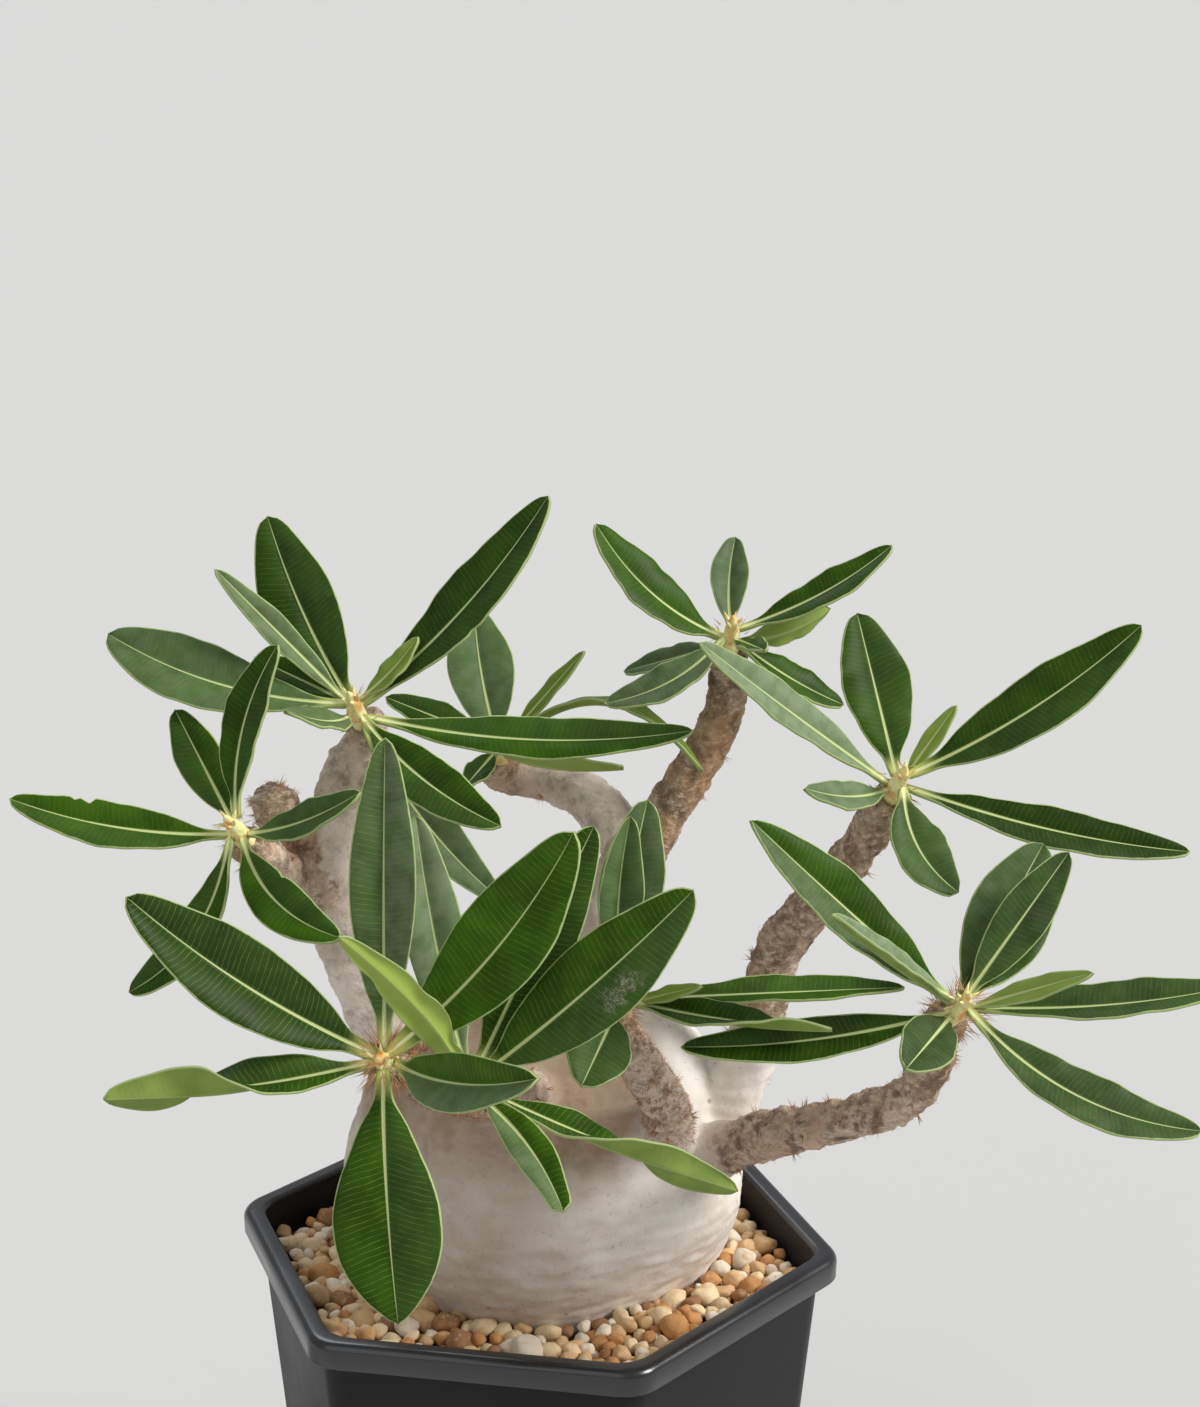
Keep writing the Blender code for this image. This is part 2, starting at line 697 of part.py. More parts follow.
def make_caudex(material):
    """The bulb, its branches, the leafless stub and the spines, grown as one."""
    caudex = ring_object("caudex", bulb_rings())
    pieces = [ring_object("branch", branch_rings(name)) for name in BRANCHES]
    pieces += branch_spines()
    bpy.context.view_layer.update()
    fuse(caudex, pieces)
    tidy_solid(caudex)
    finish(caudex, material)
    return caudex


def rosette_axis(rosette):
    """The direction that a rosette faces."""
    heading = math.radians(rosette.heading)
    climb = math.radians(rosette.climb)
    return Vector((math.cos(heading) * math.cos(climb), math.sin(heading) * math.cos(climb),
                   math.sin(climb)))


def rosette_matrix(rosette):
    """The rosette's place: X to its right hand, Y to its top and Z out along its axis."""
    heading = math.radians(rosette.heading)
    axis = rosette_axis(rosette)
    right = Vector((-math.sin(heading), math.cos(heading), 0.0))
    turn = Matrix((right, axis.cross(right), axis)).transposed().to_4x4()
    return Matrix.Translation(Vector(rosette.heart) * MM) @ turn


def blade_share(s, belly):
    """Share of the leaf's full width at s along it: a narrow stalk, a long oval and a point."""
    oval = math.sin(math.pi * min(s, 1.0) ** belly)
    return max(oval, 0.0) ** BLADE_FULLNESS + STALK_SHARE * (1 - s) ** 3 + TIP_SHARE


def leaf_rings(leaf, index):
    """Rings of six points along a leaf in its rosette's frame.

    Each ring runs upper left, upper middle, upper right, lower right, lower middle, lower left.
    """
    around = math.radians(leaf.around)
    lift = math.radians(leaf.lift)
    axis = np.array((0.0, 0.0, 1.0))
    radial = np.array((math.cos(around), math.sin(around), 0.0))
    across = np.cross(axis, radial)
    outward = math.cos(lift) * radial + math.sin(lift) * axis
    face = np.cross(outward, across)
    start = radial * LEAF_START + axis * ((index % 3 - 1) * ROW_STEP + leaf.lift / 30)
    chord = outward * leaf.length - start
    bow = face * leaf.arch + across * leaf.sway
    segments = LONG_LEAF_SEGMENTS if leaf.length >= LONG_LEAF else SHORT_LEAF_SEGMENTS
    rings = []
    for i in range(segments + 1):
        s = i / segments
        centre = start + chord * s + bow * 4 * s * (1 - s)
        tangent = unit(chord + bow * 4 * (1 - 2 * s))
        left = unit(across - tangent * (across @ tangent))
        up = np.cross(tangent, left)
        turn = math.radians(leaf.roll + leaf.twist * smooth_step((s - TWIST_START) / TWIST_SPAN))
        left, up = (math.cos(turn) * left + math.sin(turn) * up,
                    math.cos(turn) * up - math.sin(turn) * left)
        half = leaf.width / 2 * blade_share(s, leaf.belly)
        fold = math.radians(leaf.fold) * smooth_step(s / FOLD_SPAN)
        swell = leaf.wave * math.sin(math.pi * s)
        ripple_left = swell * math.sin(math.tau * LEFT_WAVES * s + index)
        ripple_right = swell * math.sin(math.tau * RIGHT_WAVES * s + 2 + 2 * index)
        lift_edge = half * math.sin(fold)
        edge_left = centre + left * half * math.cos(fold) + up * (lift_edge + ripple_left)
        edge_right = centre - left * half * math.cos(fold) + up * (lift_edge + ripple_right)
        thin = LEAF_THICKNESS / 2
        deep = MIDRIB_THICKNESS * (1 - MIDRIB_THINNING * s) - thin
        rings.append((edge_left + up * thin, centre + up * thin, edge_right + up * thin,
                      edge_right - up * thin, centre - up * deep, edge_left - up * thin))
    return rings


def heart_rings():
    """The heart that the leaves grow from, a short rounded knob along the rosette's axis."""
    rings = []
    for height, radius in HEART_PROFILE:
        ring = []
        for side in range(HEART_SIDES):
            angle = 2 * math.pi * side / HEART_SIDES
            ring.append((radius * math.cos(angle), radius * math.sin(angle), height))
        rings.append(ring)
    return rings


def heart_spines(number):
    """Spines between the leaf stalks of one heart."""
    draw = random.Random(SPINE_SEED + 10 * number)
    spines = []
    for i in range(HEART_SPINES):
        shift = draw.uniform(-HEART_SPINE_SHIFT, HEART_SPINE_SHIFT)
        angle = 2 * math.pi * (i + shift) / HEART_SPINES
        climb = draw.uniform(*HEART_SPINE_CLIMBS)
        out = np.array((math.cos(angle), math.sin(angle), 0.0))
        way = out * math.cos(climb) + np.array((0.0, 0.0, math.sin(climb)))
        root = out * HEART_SPINE_RADIUS
        root[2] = draw.uniform(*HEART_SPINE_HEIGHTS)
        spines.append(make_spine(root, way, draw.uniform(*HEART_SPINE_LENGTHS)))
    return spines


def make_rosette(name, number, material):
    """One leafy head: its heart, leaves and spines fused together."""
    rosette = ROSETTES[name]
    head = ring_object("rosette_" + name, heart_rings())
    pieces = heart_spines(number)
    for index, leaf in enumerate(rosette.leaves):
        pieces.append(ring_object("leaf", leaf_rings(leaf, index)))
    bpy.context.view_layer.update()
    fuse(head, pieces)
    tidy_solid(head)
    finish(head, material)
    head.matrix_world = rosette_matrix(rosette)
    return head


def main():
    clear_scene()
    materials = {name: make_material(name) for name in MATERIALS}
    whole = bpy.data.objects.new("potted_pachypodium", None)
    bpy.context.scene.collection.objects.link(whole)
    pieces = [
        make_pot(materials["pot_plastic"]),
        make_soil(materials["soil"]),
        make_gravel(materials["gravel_stone"]),
        make_caudex(materials["bark"]),
    ]
    for number, name in enumerate(ROSETTES):
        pieces.append(make_rosette(name, number, materials["leaf_green"]))
    for piece in pieces:
        piece.parent = whole


main()
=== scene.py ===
"""Potted pachypodium, dressed: fine leaves, bark, spines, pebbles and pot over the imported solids.

Tables are in millimetres and degrees, in the part's frame: +Z up, X to the right, Y to the back.
"""
import itertools
import math
import random
from collections import namedtuple

import bmesh
import bpy
import numpy as np
from mathutils import Euler, Matrix, Vector, noise


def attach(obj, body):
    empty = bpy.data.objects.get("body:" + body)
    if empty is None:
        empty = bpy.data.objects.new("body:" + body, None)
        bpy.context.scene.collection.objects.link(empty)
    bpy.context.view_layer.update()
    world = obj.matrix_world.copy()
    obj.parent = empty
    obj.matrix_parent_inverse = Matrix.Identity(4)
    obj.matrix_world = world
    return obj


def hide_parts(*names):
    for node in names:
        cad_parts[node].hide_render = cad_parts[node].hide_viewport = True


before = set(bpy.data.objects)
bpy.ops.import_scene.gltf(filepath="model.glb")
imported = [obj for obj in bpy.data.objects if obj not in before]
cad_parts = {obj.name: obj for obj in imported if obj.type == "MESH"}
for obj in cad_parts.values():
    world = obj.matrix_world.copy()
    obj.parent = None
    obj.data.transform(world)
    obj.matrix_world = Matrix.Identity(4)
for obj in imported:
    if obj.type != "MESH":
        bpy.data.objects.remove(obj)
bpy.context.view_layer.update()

MM = 0.001

# Camera: the photograph's, over an image 1200 by 1407.
CAMERA_PLACE = (0.0141, -0.5566, 0.3886)
CAMERA_DROP = 15.98
CAMERA_SENSOR = 36.0
CAMERA_LENS = 2800 / 1407 * CAMERA_SENSOR

# Pot.
POT_TURN = -10.65
POT_HEIGHT = 110.0
POT_FOOT_RADIUS = 51.5
POT_NECK_RADIUS = 62.0
POT_LIP_RADIUS = 66.0
POT_LIP_DROP = 5.8
POT_WALL = 1.9
POT_FLOOR = 2.6
POT_CORNER = 8.0
CORNER_POINTS = 14
POT_OUTER_ROUND = 2.0
POT_INNER_ROUND = 1.3
POT_FOOT_BEVEL = ((-2.4, 0.0), (-0.8, 0.3), (0.05, 1.2))
POT_OUTER_HEIGHTS = (6.0, 30.0, 60.0, 90.0, 101.0, 104.0)
POT_INNER_HEIGHTS = (104.0, 90.0, 60.0, 30.0)
DRAIN_HOLES = 6
DRAIN_RADIUS = 4.0
DRAIN_CIRCLE = 30.0
DRAIN_SIDES = 32

# Gravel. Layers: height, most pebbles, their sizes, how close they lie and how fine each one is.
PEBBLE_LAYERS = ((99.9, 230, (2.3, 3.3), 0.80, 2), (102.3, 460, (1.5, 3.6), 0.72, 3))
PEBBLE_SEED = 23
PEBBLE_TRIES = 60
PEBBLE_CELL = 8
# Tones, and how often each is drawn.
PEBBLE_TONES = (
    ((0.860, 0.660, 0.410), 6), ((0.740, 0.480, 0.240), 5), ((0.600, 0.290, 0.100), 3),
    ((0.330, 0.165, 0.075), 2), ((0.900, 0.790, 0.620), 3),
)

# How far each stone is stretched and turned about X, Y and Z.
PEBBLE_STRETCH = ((0.92, 1.18), (0.80, 1.0), (0.66, 0.92))
PEBBLE_TURNS = ((-0.5, 0.5), (-0.5, 0.5), (0, math.tau))

# Caudex. Its profile gives the bulb's heights and radii.
BULB_CENTRE = (1.5, 5.0)
BULB_DEPTH_SHARE = 0.9
BULB_SIDES = 96
BULB_STEP = 1.5
BULB_BLUR = 1.8
BULB_FOOT = 88.0
BARK_VOXEL = 0.78
BULB_PROFILE = (
    (30, 6), (50, 17), (74, 28), (92, 33.5), (101, 37), (108, 40.5), (115, 42.8), (122, 43.4),
    (129, 42.4), (135, 40), (139.5, 38.6), (145, 37.6), (150.5, 34.4), (156, 28.5), (160.5, 20),
    (163, 9),
)
BULB_HEIGHTS = [row[0] for row in BULB_PROFILE]
BULB_RADII = [row[1] for row in BULB_PROFILE]

# Branches: points along each one, its radius at each point, and the rosette at its end. A branch
# with a rosette goes on to the foot of the rosette's heart, which the last two radii are for.
BRANCHES = {
    "left": (
        ((-20, -1, 134), (-29, -3.5, 153), (-35.5, -5, 168), (-40, -7, 181), (-42.5, -8.5, 194),
         (-41.5, -9, 206), (-37.5, -9, 217)),
        (10.5, 7.2, 6.2, 5.8, 5.6, 5.4, 5.0, 4.4, 4.0), "upper_left"),
    "left_side": (
        ((-42, -9, 191), (-50, -19, 199)),
        (4.8, 4.2, 4.0, 3.9), "left"),
    "stub": (
        ((-43, -9, 198), (-49, -13, 207), (-52, -14.5, 211.5), (-54, -15.5, 215)),
        (4.6, 4.0, 4.9, 3.2), None),
    "right": (
        ((30, 1, 124), (44.5, 1, 146), (48.5, 0, 162), (52.5, -2, 177), (65, -9.5, 197)),
        (10, 6.4, 5.3, 4.7, 4.4, 4.1, 4.0), "right"),
    "front_right": (
        ((24, -7, 126), (44, -16.5, 138), (56, -27, 146), (68, -36, 153.5), (77, -44, 162)),
        (8.5, 5.4, 4.5, 4.4, 4.3, 4.1, 3.9), "front_right"),
    "trunk": (
        ((5, 8, 138), (13, 15, 166), (17, 20, 179), (22, 24, 189)),
        (13, 7.6, 6.8, 6.2), None),
    "upper_right": (
        ((21, 23, 186), (27, 25, 195), (36, 26, 209.5), (41, 25, 221)),
        (5.8, 5.2, 4.6, 4.4, 4.1, 4.0), "upper_right"),
    "upper_middle": (
        ((22, 25, 185), (18.3, 28, 191.5), (11, 35, 197.5), (1, 41, 200)),
        (5.8, 5.9, 5.4, 4.7, 4.2, 3.9), "upper_middle"),
    "front": (
        ((-1, -18, 146), (-3, -32, 156), (-7, -48, 164)),
        (8.5, 6.0, 5.0), None),
    "front_left": (
        ((-6.5, -46, 163), (-15, -62, 171)),
        (4.8, 4.6, 4.2, 3.9), "front_left"),
    "front_middle": (
        ((-6.5, -46, 163), (-9, -60, 169)),
        (4.8, 4.6, 4.2, 3.9), "front_middle"),
    "front_centre": (
        ((27, -10, 134), (28, -26, 149), (23, -38.5, 164)),
        (7.5, 4.6, 4.2, 4.0, 3.8), "front_centre"),
}
BRANCH_SIDES = 24
BRANCH_STEPS = 8
BRANCH_LUMPS = 0.03
# Above the crease the bulb is brown. The crease is higher on the side with the painted highlight. Sides
# are angles.
CREASE_HEIGHT = 139.0
HIGHLIGHT_RISE = 20.0
# Painted light: the bulb is painted paler on its lit side and near white on its highlit side.
LIT_SIDE = 0.55
HIGHLIGHT_SIDE = 0.15
# Branches whose foot has the bulb's smooth pale skin and its painted highlight,
# and the share of a branch from which it gets rougher.
PALE_FEET = ("right",)
ROUGH_END = 0.62
BARK_ROUGH = {
    "left": 0.45, "left_side": 0.9, "stub": 1.0, "right": 0.95, "front_right": 1.0, "trunk": 0.2,
    "upper_right": 0.85, "upper_middle": 0.5, "front": 0.7, "front_left": 1.0, "front_middle": 1.0,
    "front_centre": 1.0,
}
BARK_LIGHT = {
    "left": 0.95, "left_side": 0.5, "stub": 0.3, "right": 0.15, "front_right": 0.45, "trunk": 0.5,
    "upper_right": 0.0, "upper_middle": 0.75, "front": 0.55, "front_left": 0.15, "front_middle": 0.15,
    "front_centre": 0.9,
}

# Tufts of short spines and single fine hairs on each branch.
BRANCH_SPINES = {
    "front": (16, 120), "front_left": (260, 1300), "front_middle": (180, 900),
    "front_centre": (36, 7000), "front_right": (60, 420), "left_side": (18, 260),
    "stub": (30, 600), "left": (10, 100), "right": (14, 70), "upper_right": (4, 60),
    "upper_middle": (3, 40),
}
TUFT = (4, 8)
SPINE_SEED = 5

# Bristles in each heart: how many and how long.
HEART_BRISTLES = {
    "front_left": (150, (2.4, 6.0)), "front_middle": (90, (2.0, 4.4)), "front_centre": (70, (1.8, 4.0)),
    "front_right": (120, (2.2, 5.4)), "left": (26, (1.4, 3.0)), "upper_left": (22, (1.4, 3.0)),
    "right": (26, (1.4, 3.0)), "upper_right": (18, (1.2, 2.6)), "upper_middle": (14, (1.2, 2.4)),
}

# Rosettes: the heart's place, the way it faces, and its leaves. A leaf's around is its angle
# about the rosette's axis, lift its angle above the rosette's plane. Arch bows the midrib
# towards the upper face and sway towards the left edge. Roll turns the blade about its midrib,
# twist adds more roll towards the tip, fold lifts both halves, wave is the edge's ripple and a
# greater belly moves the widest place towards the tip.
Rosette = namedtuple("Rosette", "heart heading climb leaves")
Leaf = namedtuple("Leaf", "around lift length width arch sway roll twist fold wave belly")
Leaf.__new__.__defaults__ = (0, 0, 0, 0, 12, 0.6, 1.23)

ROSETTES = {
    "front_left": Rosette((-25, -85, 186), -100, 25, (
        (150, 27, 56, 16, 1, 2, 18, 0, 22), (-167, 24, 51, 12, 1, 1.5, 30, 120, 25),
        (-82, 0, 47, 20, 3, 0, 0, 0, 8, 0.6, 1.5), (-3, 40, 44, 12, 1, -2.5, 0, 0, 30),
        (90, 20, 60, 13, 1, 0, 10, 0, 25), (51, 14.5, 56, 17, -2, -2.5)
    )),
    "front_middle": Rosette((-10, -80, 179), -80, 25, (
        (134, 47, 53, 8.5, 5, -1.5, 160, 0, 2), (-60, 27, 31, 7.5, 0, 2),
        (-26, 13, 53, 12, 0, -1, -45, -115, 20), (38, 24, 56, 16, 1, -1), (61, 10, 53, 13),
        (99, 12, 51, 11, 0, 1)
    )),
    "front_centre": Rosette((18, -50, 183), -75, 40, (
        (76, 20, 40, 13, 0, 1), (84, 33, 37, 10, 0, 1.5, 0, 0, 30),
        (-22, 23.5, 42, 9, 2, -2, -20, -60, 20), (-14, 51, 20, 4.5), (-124, 8, 20, 13),
        (-4, 4, 57, 8, 0, 0, -30, 0, 20)
    )),
    "front_right": Rosette((83, -55, 184), -70, 45, (
        (174, -15, 54, 9, 0, 2), (139, 22, 57, 13, 0, 0.5),
        (154, 32, 38.2, 6.5, 0, 1, 30, 0, 35, 0.2), (49, 15, 38, 15, 0, 0.2), (42, 30, 37, 10),
        (36, 4, 32, 10), (-13, 46, 28, 6), (-11, 18, 54, 10, 0, -2, -20, 0, 20),
        (-43, 9, 51, 11, 0, -6), (-144, 19, 24, 11)
    )),
    "left": Rosette((-57, -35, 213), -115, 45, (
        (-168, 24, 45, 10, 0, 2.5), (133, 18, 29, 9.5), (80, 32, 38, 9.5, 0, 3.5),
        (13, 21, 33, 8, 0, -2), (-31, 1, 36, 10, 0, -4), (-119, -19, 39, 10, 0, 6)
    )),
    "upper_left": Rosette((-35, -15, 232), -105, 50, (
        (125, 37, 43, 15, 0, 1.5), (153, 42, 40, 6),
        (178, 21, 52, 15.5, 0, 4, 0, 0, 12, 0.6, 1.6), (-128, 47, 20, 8, 0, 3),
        (50, 20, 58, 13, 0, -3), (45, 29, 20, 6, 0, -1), (7, -9, 68, 10, 0, -4),
        (-31, -9, 40, 11, 0, -2.5), (160, 9, 25, 7), (-40, -32, 48, 10, 0, -2.5)
    )),
    "right": Rosette((74, -20, 218), -75, 50, (
        (149, 23, 51, 9, 0, 0.5, 0, 0, 15), (96, 22, 36, 15), (17, 30, 58, 13, 0, -2.5),
        (38, 47, 20, 6), (-23, 3, 60, 10, 0, -2.5), (-71, -12, 25, 12, 0, -3.5),
        (-175, 12, 22, 7, 0, 2)
    )),
    "upper_right": Rosette((42, 20, 238), -85, 60, (
        (153, 32, 38, 13, 0, 4.5), (83, 21, 24, 9, 0, 1, 0, 0, 25), (18, 23, 39.5, 8.5, 0, -2.5),
        (22, -1, 24, 8, 0, -2, -100), (-68, 32, 16, 6), (-156, -12, 31, 9, 0, 3.5),
        (159, -38, 29, 8), (-13, -31, 30, 9, 0, -1.5)
    )),
    "upper_middle": Rosette((-8, 35, 209), -90, 55, (
        (101, 18, 34, 15, 0, 1), (34, 39, 29, 4), (-21, 16, 49, 8, 9, 8, -40),
        (-33, 26, 36, 9, 0, -2, -50, 0, 25), (-116, 17, 17, 6), (153, 3, 29, 8)
    )),
}

# Hearts: how far below the heart its branch ends, in two steps, and a profile of heights and radii.
HEART_NECK = 9.5
HEART_ROOT = 4.4
HEART_PROFILE = ((-5.7, 3.9), (-3, 4.4), (0.5, 4.2), (3.5, 3.0), (5.6, 1.6), (6.6, 0.5))
HEART_HEIGHTS = [row[0] for row in HEART_PROFILE]
HEART_RADII = [row[1] for row in HEART_PROFILE]
HEART_SHARE = 0.44
HEART_SIDES = 20
HEART_RINGS = 22
HEART_BUDS = 5

# Every leaf: where it starts, where it twists, its waves and waist, and how thick it is.
LEAF_START = 1.6
ROW_STEP = 1.6
TWIST_START = 0.3
TWIST_SPAN = 0.6
WAVE_SHARE = 0.55
WAIST_DEPTH = 0.32
WAIST_PLACE = 0.11
WAIST_SPAN = 0.075
RUFFLE = 0.16
EDGE_ROLL = 0.16
BLADE_ABOVE = 0.26
RIB_GROOVE = 0.14
BLADE_BELOW = 0.22
KEEL_DEPTH = 0.95
LEAF_STEPS = 24
LEAF_STEPS_PER_MM = 0.95
ACROSS = (1.0, 0.93, 0.78, 0.55, 0.3, 0.1, 0.0, -0.1, -0.3, -0.55, -0.78, -0.93, -1.0)
VEIN_SPACING = 1.12
VEIN_SLANT = 0.30
# The mesh keeps half widths and lengths divided by these, in millimetres.
HALF_SCALE = 20.0
ALONG_SCALE = 100.0

# What sets single leaves apart, by head and number: how young each is, how much painted grey-green
# sheen it has, on which half (0 right, 1 left, 0.5 both) and how dusty it is.
PLAIN_SHEEN = 0.055
LOOKS = {
    "front_left": {3: (0, 0.5, 0, 0), 4: (0, 0.45, 0.25, 0), 5: (0, 0, 0, 0)},
    "front_middle": {0: (0.85, 0, 0.5, 0), 1: (0, 0.45, 0, 0), 3: (0, 0.1, 0, 1),
                     5: (0, 0.8, 0.5, 0)},
    "front_centre": {0: (0, 0.3, 0.5, 0), 1: (0, 0.3, 0.5, 0), 3: (1.15, 0, 0.5, 0),
                     4: (0, 0.14, 0.5, 0)},
    "front_right": {1: (0, 0.3, 1, 0), 2: (0.1, 0.95, 0.5, 0), 3: (0, 0.25, 0.5, 0),
                    4: (0, 0.15, 0.5, 0), 6: (1, 0.1, 0.5, 0), 7: (0, 0.12, 0.5, 0),
                    8: (0, 0.16, 0.5, 0), 9: (0, 0.15, 0.5, 0)},
    "left": {3: (0, 0.15, 0.5, 0)},
    "right": {0: (0.1, 0.85, 0.5, 0), 3: (1, 0, 0.5, 0), 5: (0, 0.15, 0.5, 0),
              6: (0, 0.6, 0.5, 0)},
    "upper_left": {1: (0.1, 0.5, 0.5, 0), 2: (0, 0.28, 0.5, 0), 3: (0.1, 0.35, 0.5, 0),
                   5: (0.8, 0, 0.5, 0), 9: (0, 0.4, 0.5, 0)},
    "upper_middle": {0: (0, 0.35, 0.5, 0), 1: (0.7, 0, 0.5, 0), 2: (0.5, 0, 0.5, 0),
                     3: (0.5, 0, 0.5, 0)},
    "upper_right": {1: (0, 0.4, 0.5, 0), 3: (0.3, 0.1, 0.5, 0), 5: (0, 0.35, 0.5, 0),
                    6: (0, 0.35, 0.5, 0)},
}
# How much the side veins show. The other heads stand further back.
VEIN_STRENGTHS = {"front_left": 1.0, "front_middle": 0.9, "front_centre": 0.7, "front_right": 0.6}
FAR_VEIN_STRENGTH = 0.45
# How light the green of single leaves is, from 0 to 1: partly the leaf's own green and partly
# painted light and shade, darker where a leaf turns from the light, lighter where light shines through.
SHADES = {
    "front_left": {0: 0.18, 2: 0.5, 3: 1, 5: 1},
    "front_middle": {1: 0.8, 3: 0.52},
    "upper_left": {0: 0.3, 4: 0.3},
    "right": {1: 0.45, 2: 0.38, 4: 0},
    "front_right": {0: 0.35, 1: 0.45, 7: 0.35, 8: 0.32, 9: 0.1},
}
# Leaves that are narrower than their solids: share of the width.
SLIM = {
    "front_middle": {0: 0.82, 2: 0.8},
    "front_centre": {3: 0.72},
    "right": {3: 0.66},
    "front_right": {6: 0.8},
    "upper_left": {5: 0.85},
}
# Where dust lies along a leaf, and how far it reaches: shares of the length.
DUST_PLACE = 0.60
DUST_REACH = 0.12

# How rounded the leaf tips are.
BLUNT_TIP = 0.30
BLUNT_TIPS = {
    "front_left": {2: 0.05},
    "front_right": {1: 0.15},
    "upper_middle": {2: 0.1},
    "front_centre": {2: 0},
    "front_middle": {1: 0.55},
}

# Bites in leaf edges: side, place along the leaf, depth and length.
NOTCHES = {
    "left": {0: ((-1, 0.66, 0.3, 0.018), (-1, 0.72, 0.16, 0.02)), 4: ((1, 0.42, 0.14, 0.03),)},
    "upper_left": {4: ((-1, 0.47, 0.1, 0.02),)},
    "front_middle": {0: ((1, 0.3, 0.46, 0.07), (1, 0.62, 0.18, 0.06), (-1, 0.8, 0.2, 0.05))},
}

# Pot finishes: name, gloss, dullness, and its darker and lighter black.
POT_FINISHES = (
    ("wall_plastic", 0.16, 0.40, (0.0120, 0.0122, 0.0132), (0.0180, 0.0183, 0.0196)),
    ("rim_plastic", 0.80, 0.20, (0.0070, 0.0073, 0.0086), (0.0120, 0.0124, 0.0142)),
)

# Half the floor's side.
FLOOR_HALF_SIDE = 90000.0

# Lights: the direction that each shines from, its spread in degrees, power and colour.
LIGHTS = (
    ("key", (1.0, -0.20, 0.80), 24.0, 3.3, (1.0, 0.98, 0.95)),
    ("fill", (-0.60, -0.90, 0.70), 50.0, 0.40, (0.97, 0.98, 1.0)),
    ("back", (-0.30, 0.80, 0.90), 24.0, 0.5, (0.86, 0.92, 1.0)),
)
WORLD_COLOUR = (0.94, 0.96, 1.0, 1.0)
WORLD_STRENGTH = 0.36


def unit(vector):
    """The vector at length one."""
    return vector / np.linalg.norm(vector)


def smooth_step(x):
    """A soft ramp from 0 at x = 0 to 1 at x = 1."""
    x = min(max(x, 0.0), 1.0)
    return x * x * (3 - 2 * x)


class Wire:
    """A node's output. Sums, products and mixes of wires are written plainly."""

    def __init__(self, graph, socket):
        self.graph = graph
        self.socket = socket

    def __add__(self, other):
        return self.graph.calc("ADD", self, other)

    def __sub__(self, other):
        return self.graph.calc("SUBTRACT", self, other)

    def __rsub__(self, other):
        return self.graph.calc("SUBTRACT", other, self)

    def __mul__(self, other):
        return self.graph.calc("MULTIPLY", self, other)

    def __truediv__(self, other):
        return self.graph.calc("DIVIDE", self, other)

    def __abs__(self):
        return self.graph.calc("ABSOLUTE", self)

    def ramp(self, low, high, to_low=0.0, to_high=1.0):
        """A soft ramp of this value from one range to another."""
        return self.graph.add("MapRange", (self, low, high, to_low, to_high),
                              interpolation_type="SMOOTHSTEP")

    def between(self, first, second):
        """A mix of two colours, with this value as the share of the second."""
        return self.graph.mix(self, first, second)

    def tint(self, share, colour):
        """This colour with a share of another one over it."""
        return self.graph.mix(share, self, colour)

    def noise(self, scale, detail=3.0, roughness=0.55):
        """A cloudy pattern over this place."""
        return self.graph.add("TexNoise", {"Vector": self, "Scale": scale, "Detail": detail,
                                           "Roughness": roughness})

    def cells(self, scale):
        """A pattern of cells over this place: the distance from each cell's middle."""
        return self.graph.add("TexVoronoi", {"Vector": self, "Scale": scale}, "Distance")

    def split(self, kind):
        """The separate numbers of this colour or vector."""
        node = self.graph.add(kind, (self,)).socket.node
        return [Wire(self.graph, output) for output in node.outputs]


class Graph:
    """A material, and short ways to add nodes to it."""

    def __init__(self, name, **sockets):
        self.material = bpy.data.materials.new(name)
        self.material.use_nodes = True
        self.nodes = self.material.node_tree.nodes
        self.shader = self.nodes["Principled BSDF"]
        for socket, value in sockets.items():
            self.shader.inputs[socket.replace("_", " ")].default_value = value

    def feed(self, socket, value):
        """Put a number, a colour or a wire into a socket."""
        if isinstance(value, Wire):
            self.material.node_tree.links.new(value.socket, socket)
        elif isinstance(value, tuple) and socket.type == "RGBA":
            socket.default_value = (*value, 1.0)
        else:
            socket.default_value = value

    def add(self, kind, inputs=(), output=0, **settings):
        """A new node with its inputs and settings, as the output that is asked for."""
        node = self.nodes.new("ShaderNode" + kind)
        for name, value in settings.items():
            setattr(node, name, value)
        for key, value in inputs.items() if isinstance(inputs, dict) else enumerate(inputs):
            self.feed(node.inputs[key], value)
        return Wire(self, node.outputs[output])

    def calc(self, operation, *values, clamp=False):
        """A sum, product or the like of values."""
        return self.add("Math", values, operation=operation, use_clamp=clamp)

    def mix(self, share, first, second, kind="MIX"):
        """A mix of two colours."""
        return self.add("Mix", {0: share, 6: first, 7: second}, 2, data_type="RGBA",
                        blend_type=kind)

    def place(self, upward=1.0):
        """The place on the object, stretched along its height."""
        return self.add("Mapping", {"Vector": self.add("TexCoord", (), "Object"),
                                    "Scale": (1.0, 1.0, upward)})

    def attribute(self, name):
        """The four numbers that are kept with each point of the mesh."""
        colour = self.add("Attribute", (), "Color", attribute_name=name)
        return (*colour.split("SeparateColor"), Wire(self, colour.socket.node.outputs["Alpha"]))

    def finish(self, colour, roughness, height=None, strength=0.0, distance=0.0):
        """The material, with its colour, roughness and small bumps from a pattern."""
        if height:
            bump = self.add("Bump", {"Strength": strength, "Distance": distance * MM,
                                     "Height": height})
            self.feed(self.shader.inputs["Normal"], bump)
        self.feed(self.shader.inputs["Base Color"], colour)
        self.feed(self.shader.inputs["Roughness"], roughness)
        return self.material


# Where a point lies on its leaf: how near the edge, how far along in millimetres, half the leaf's
# width there, share of its length, distance from the midrib, which half, a place for patterns, and
# the leaf's shade and strength of veins.
Blade = namedtuple("Blade", "edge along half share off side cloud chance veined")


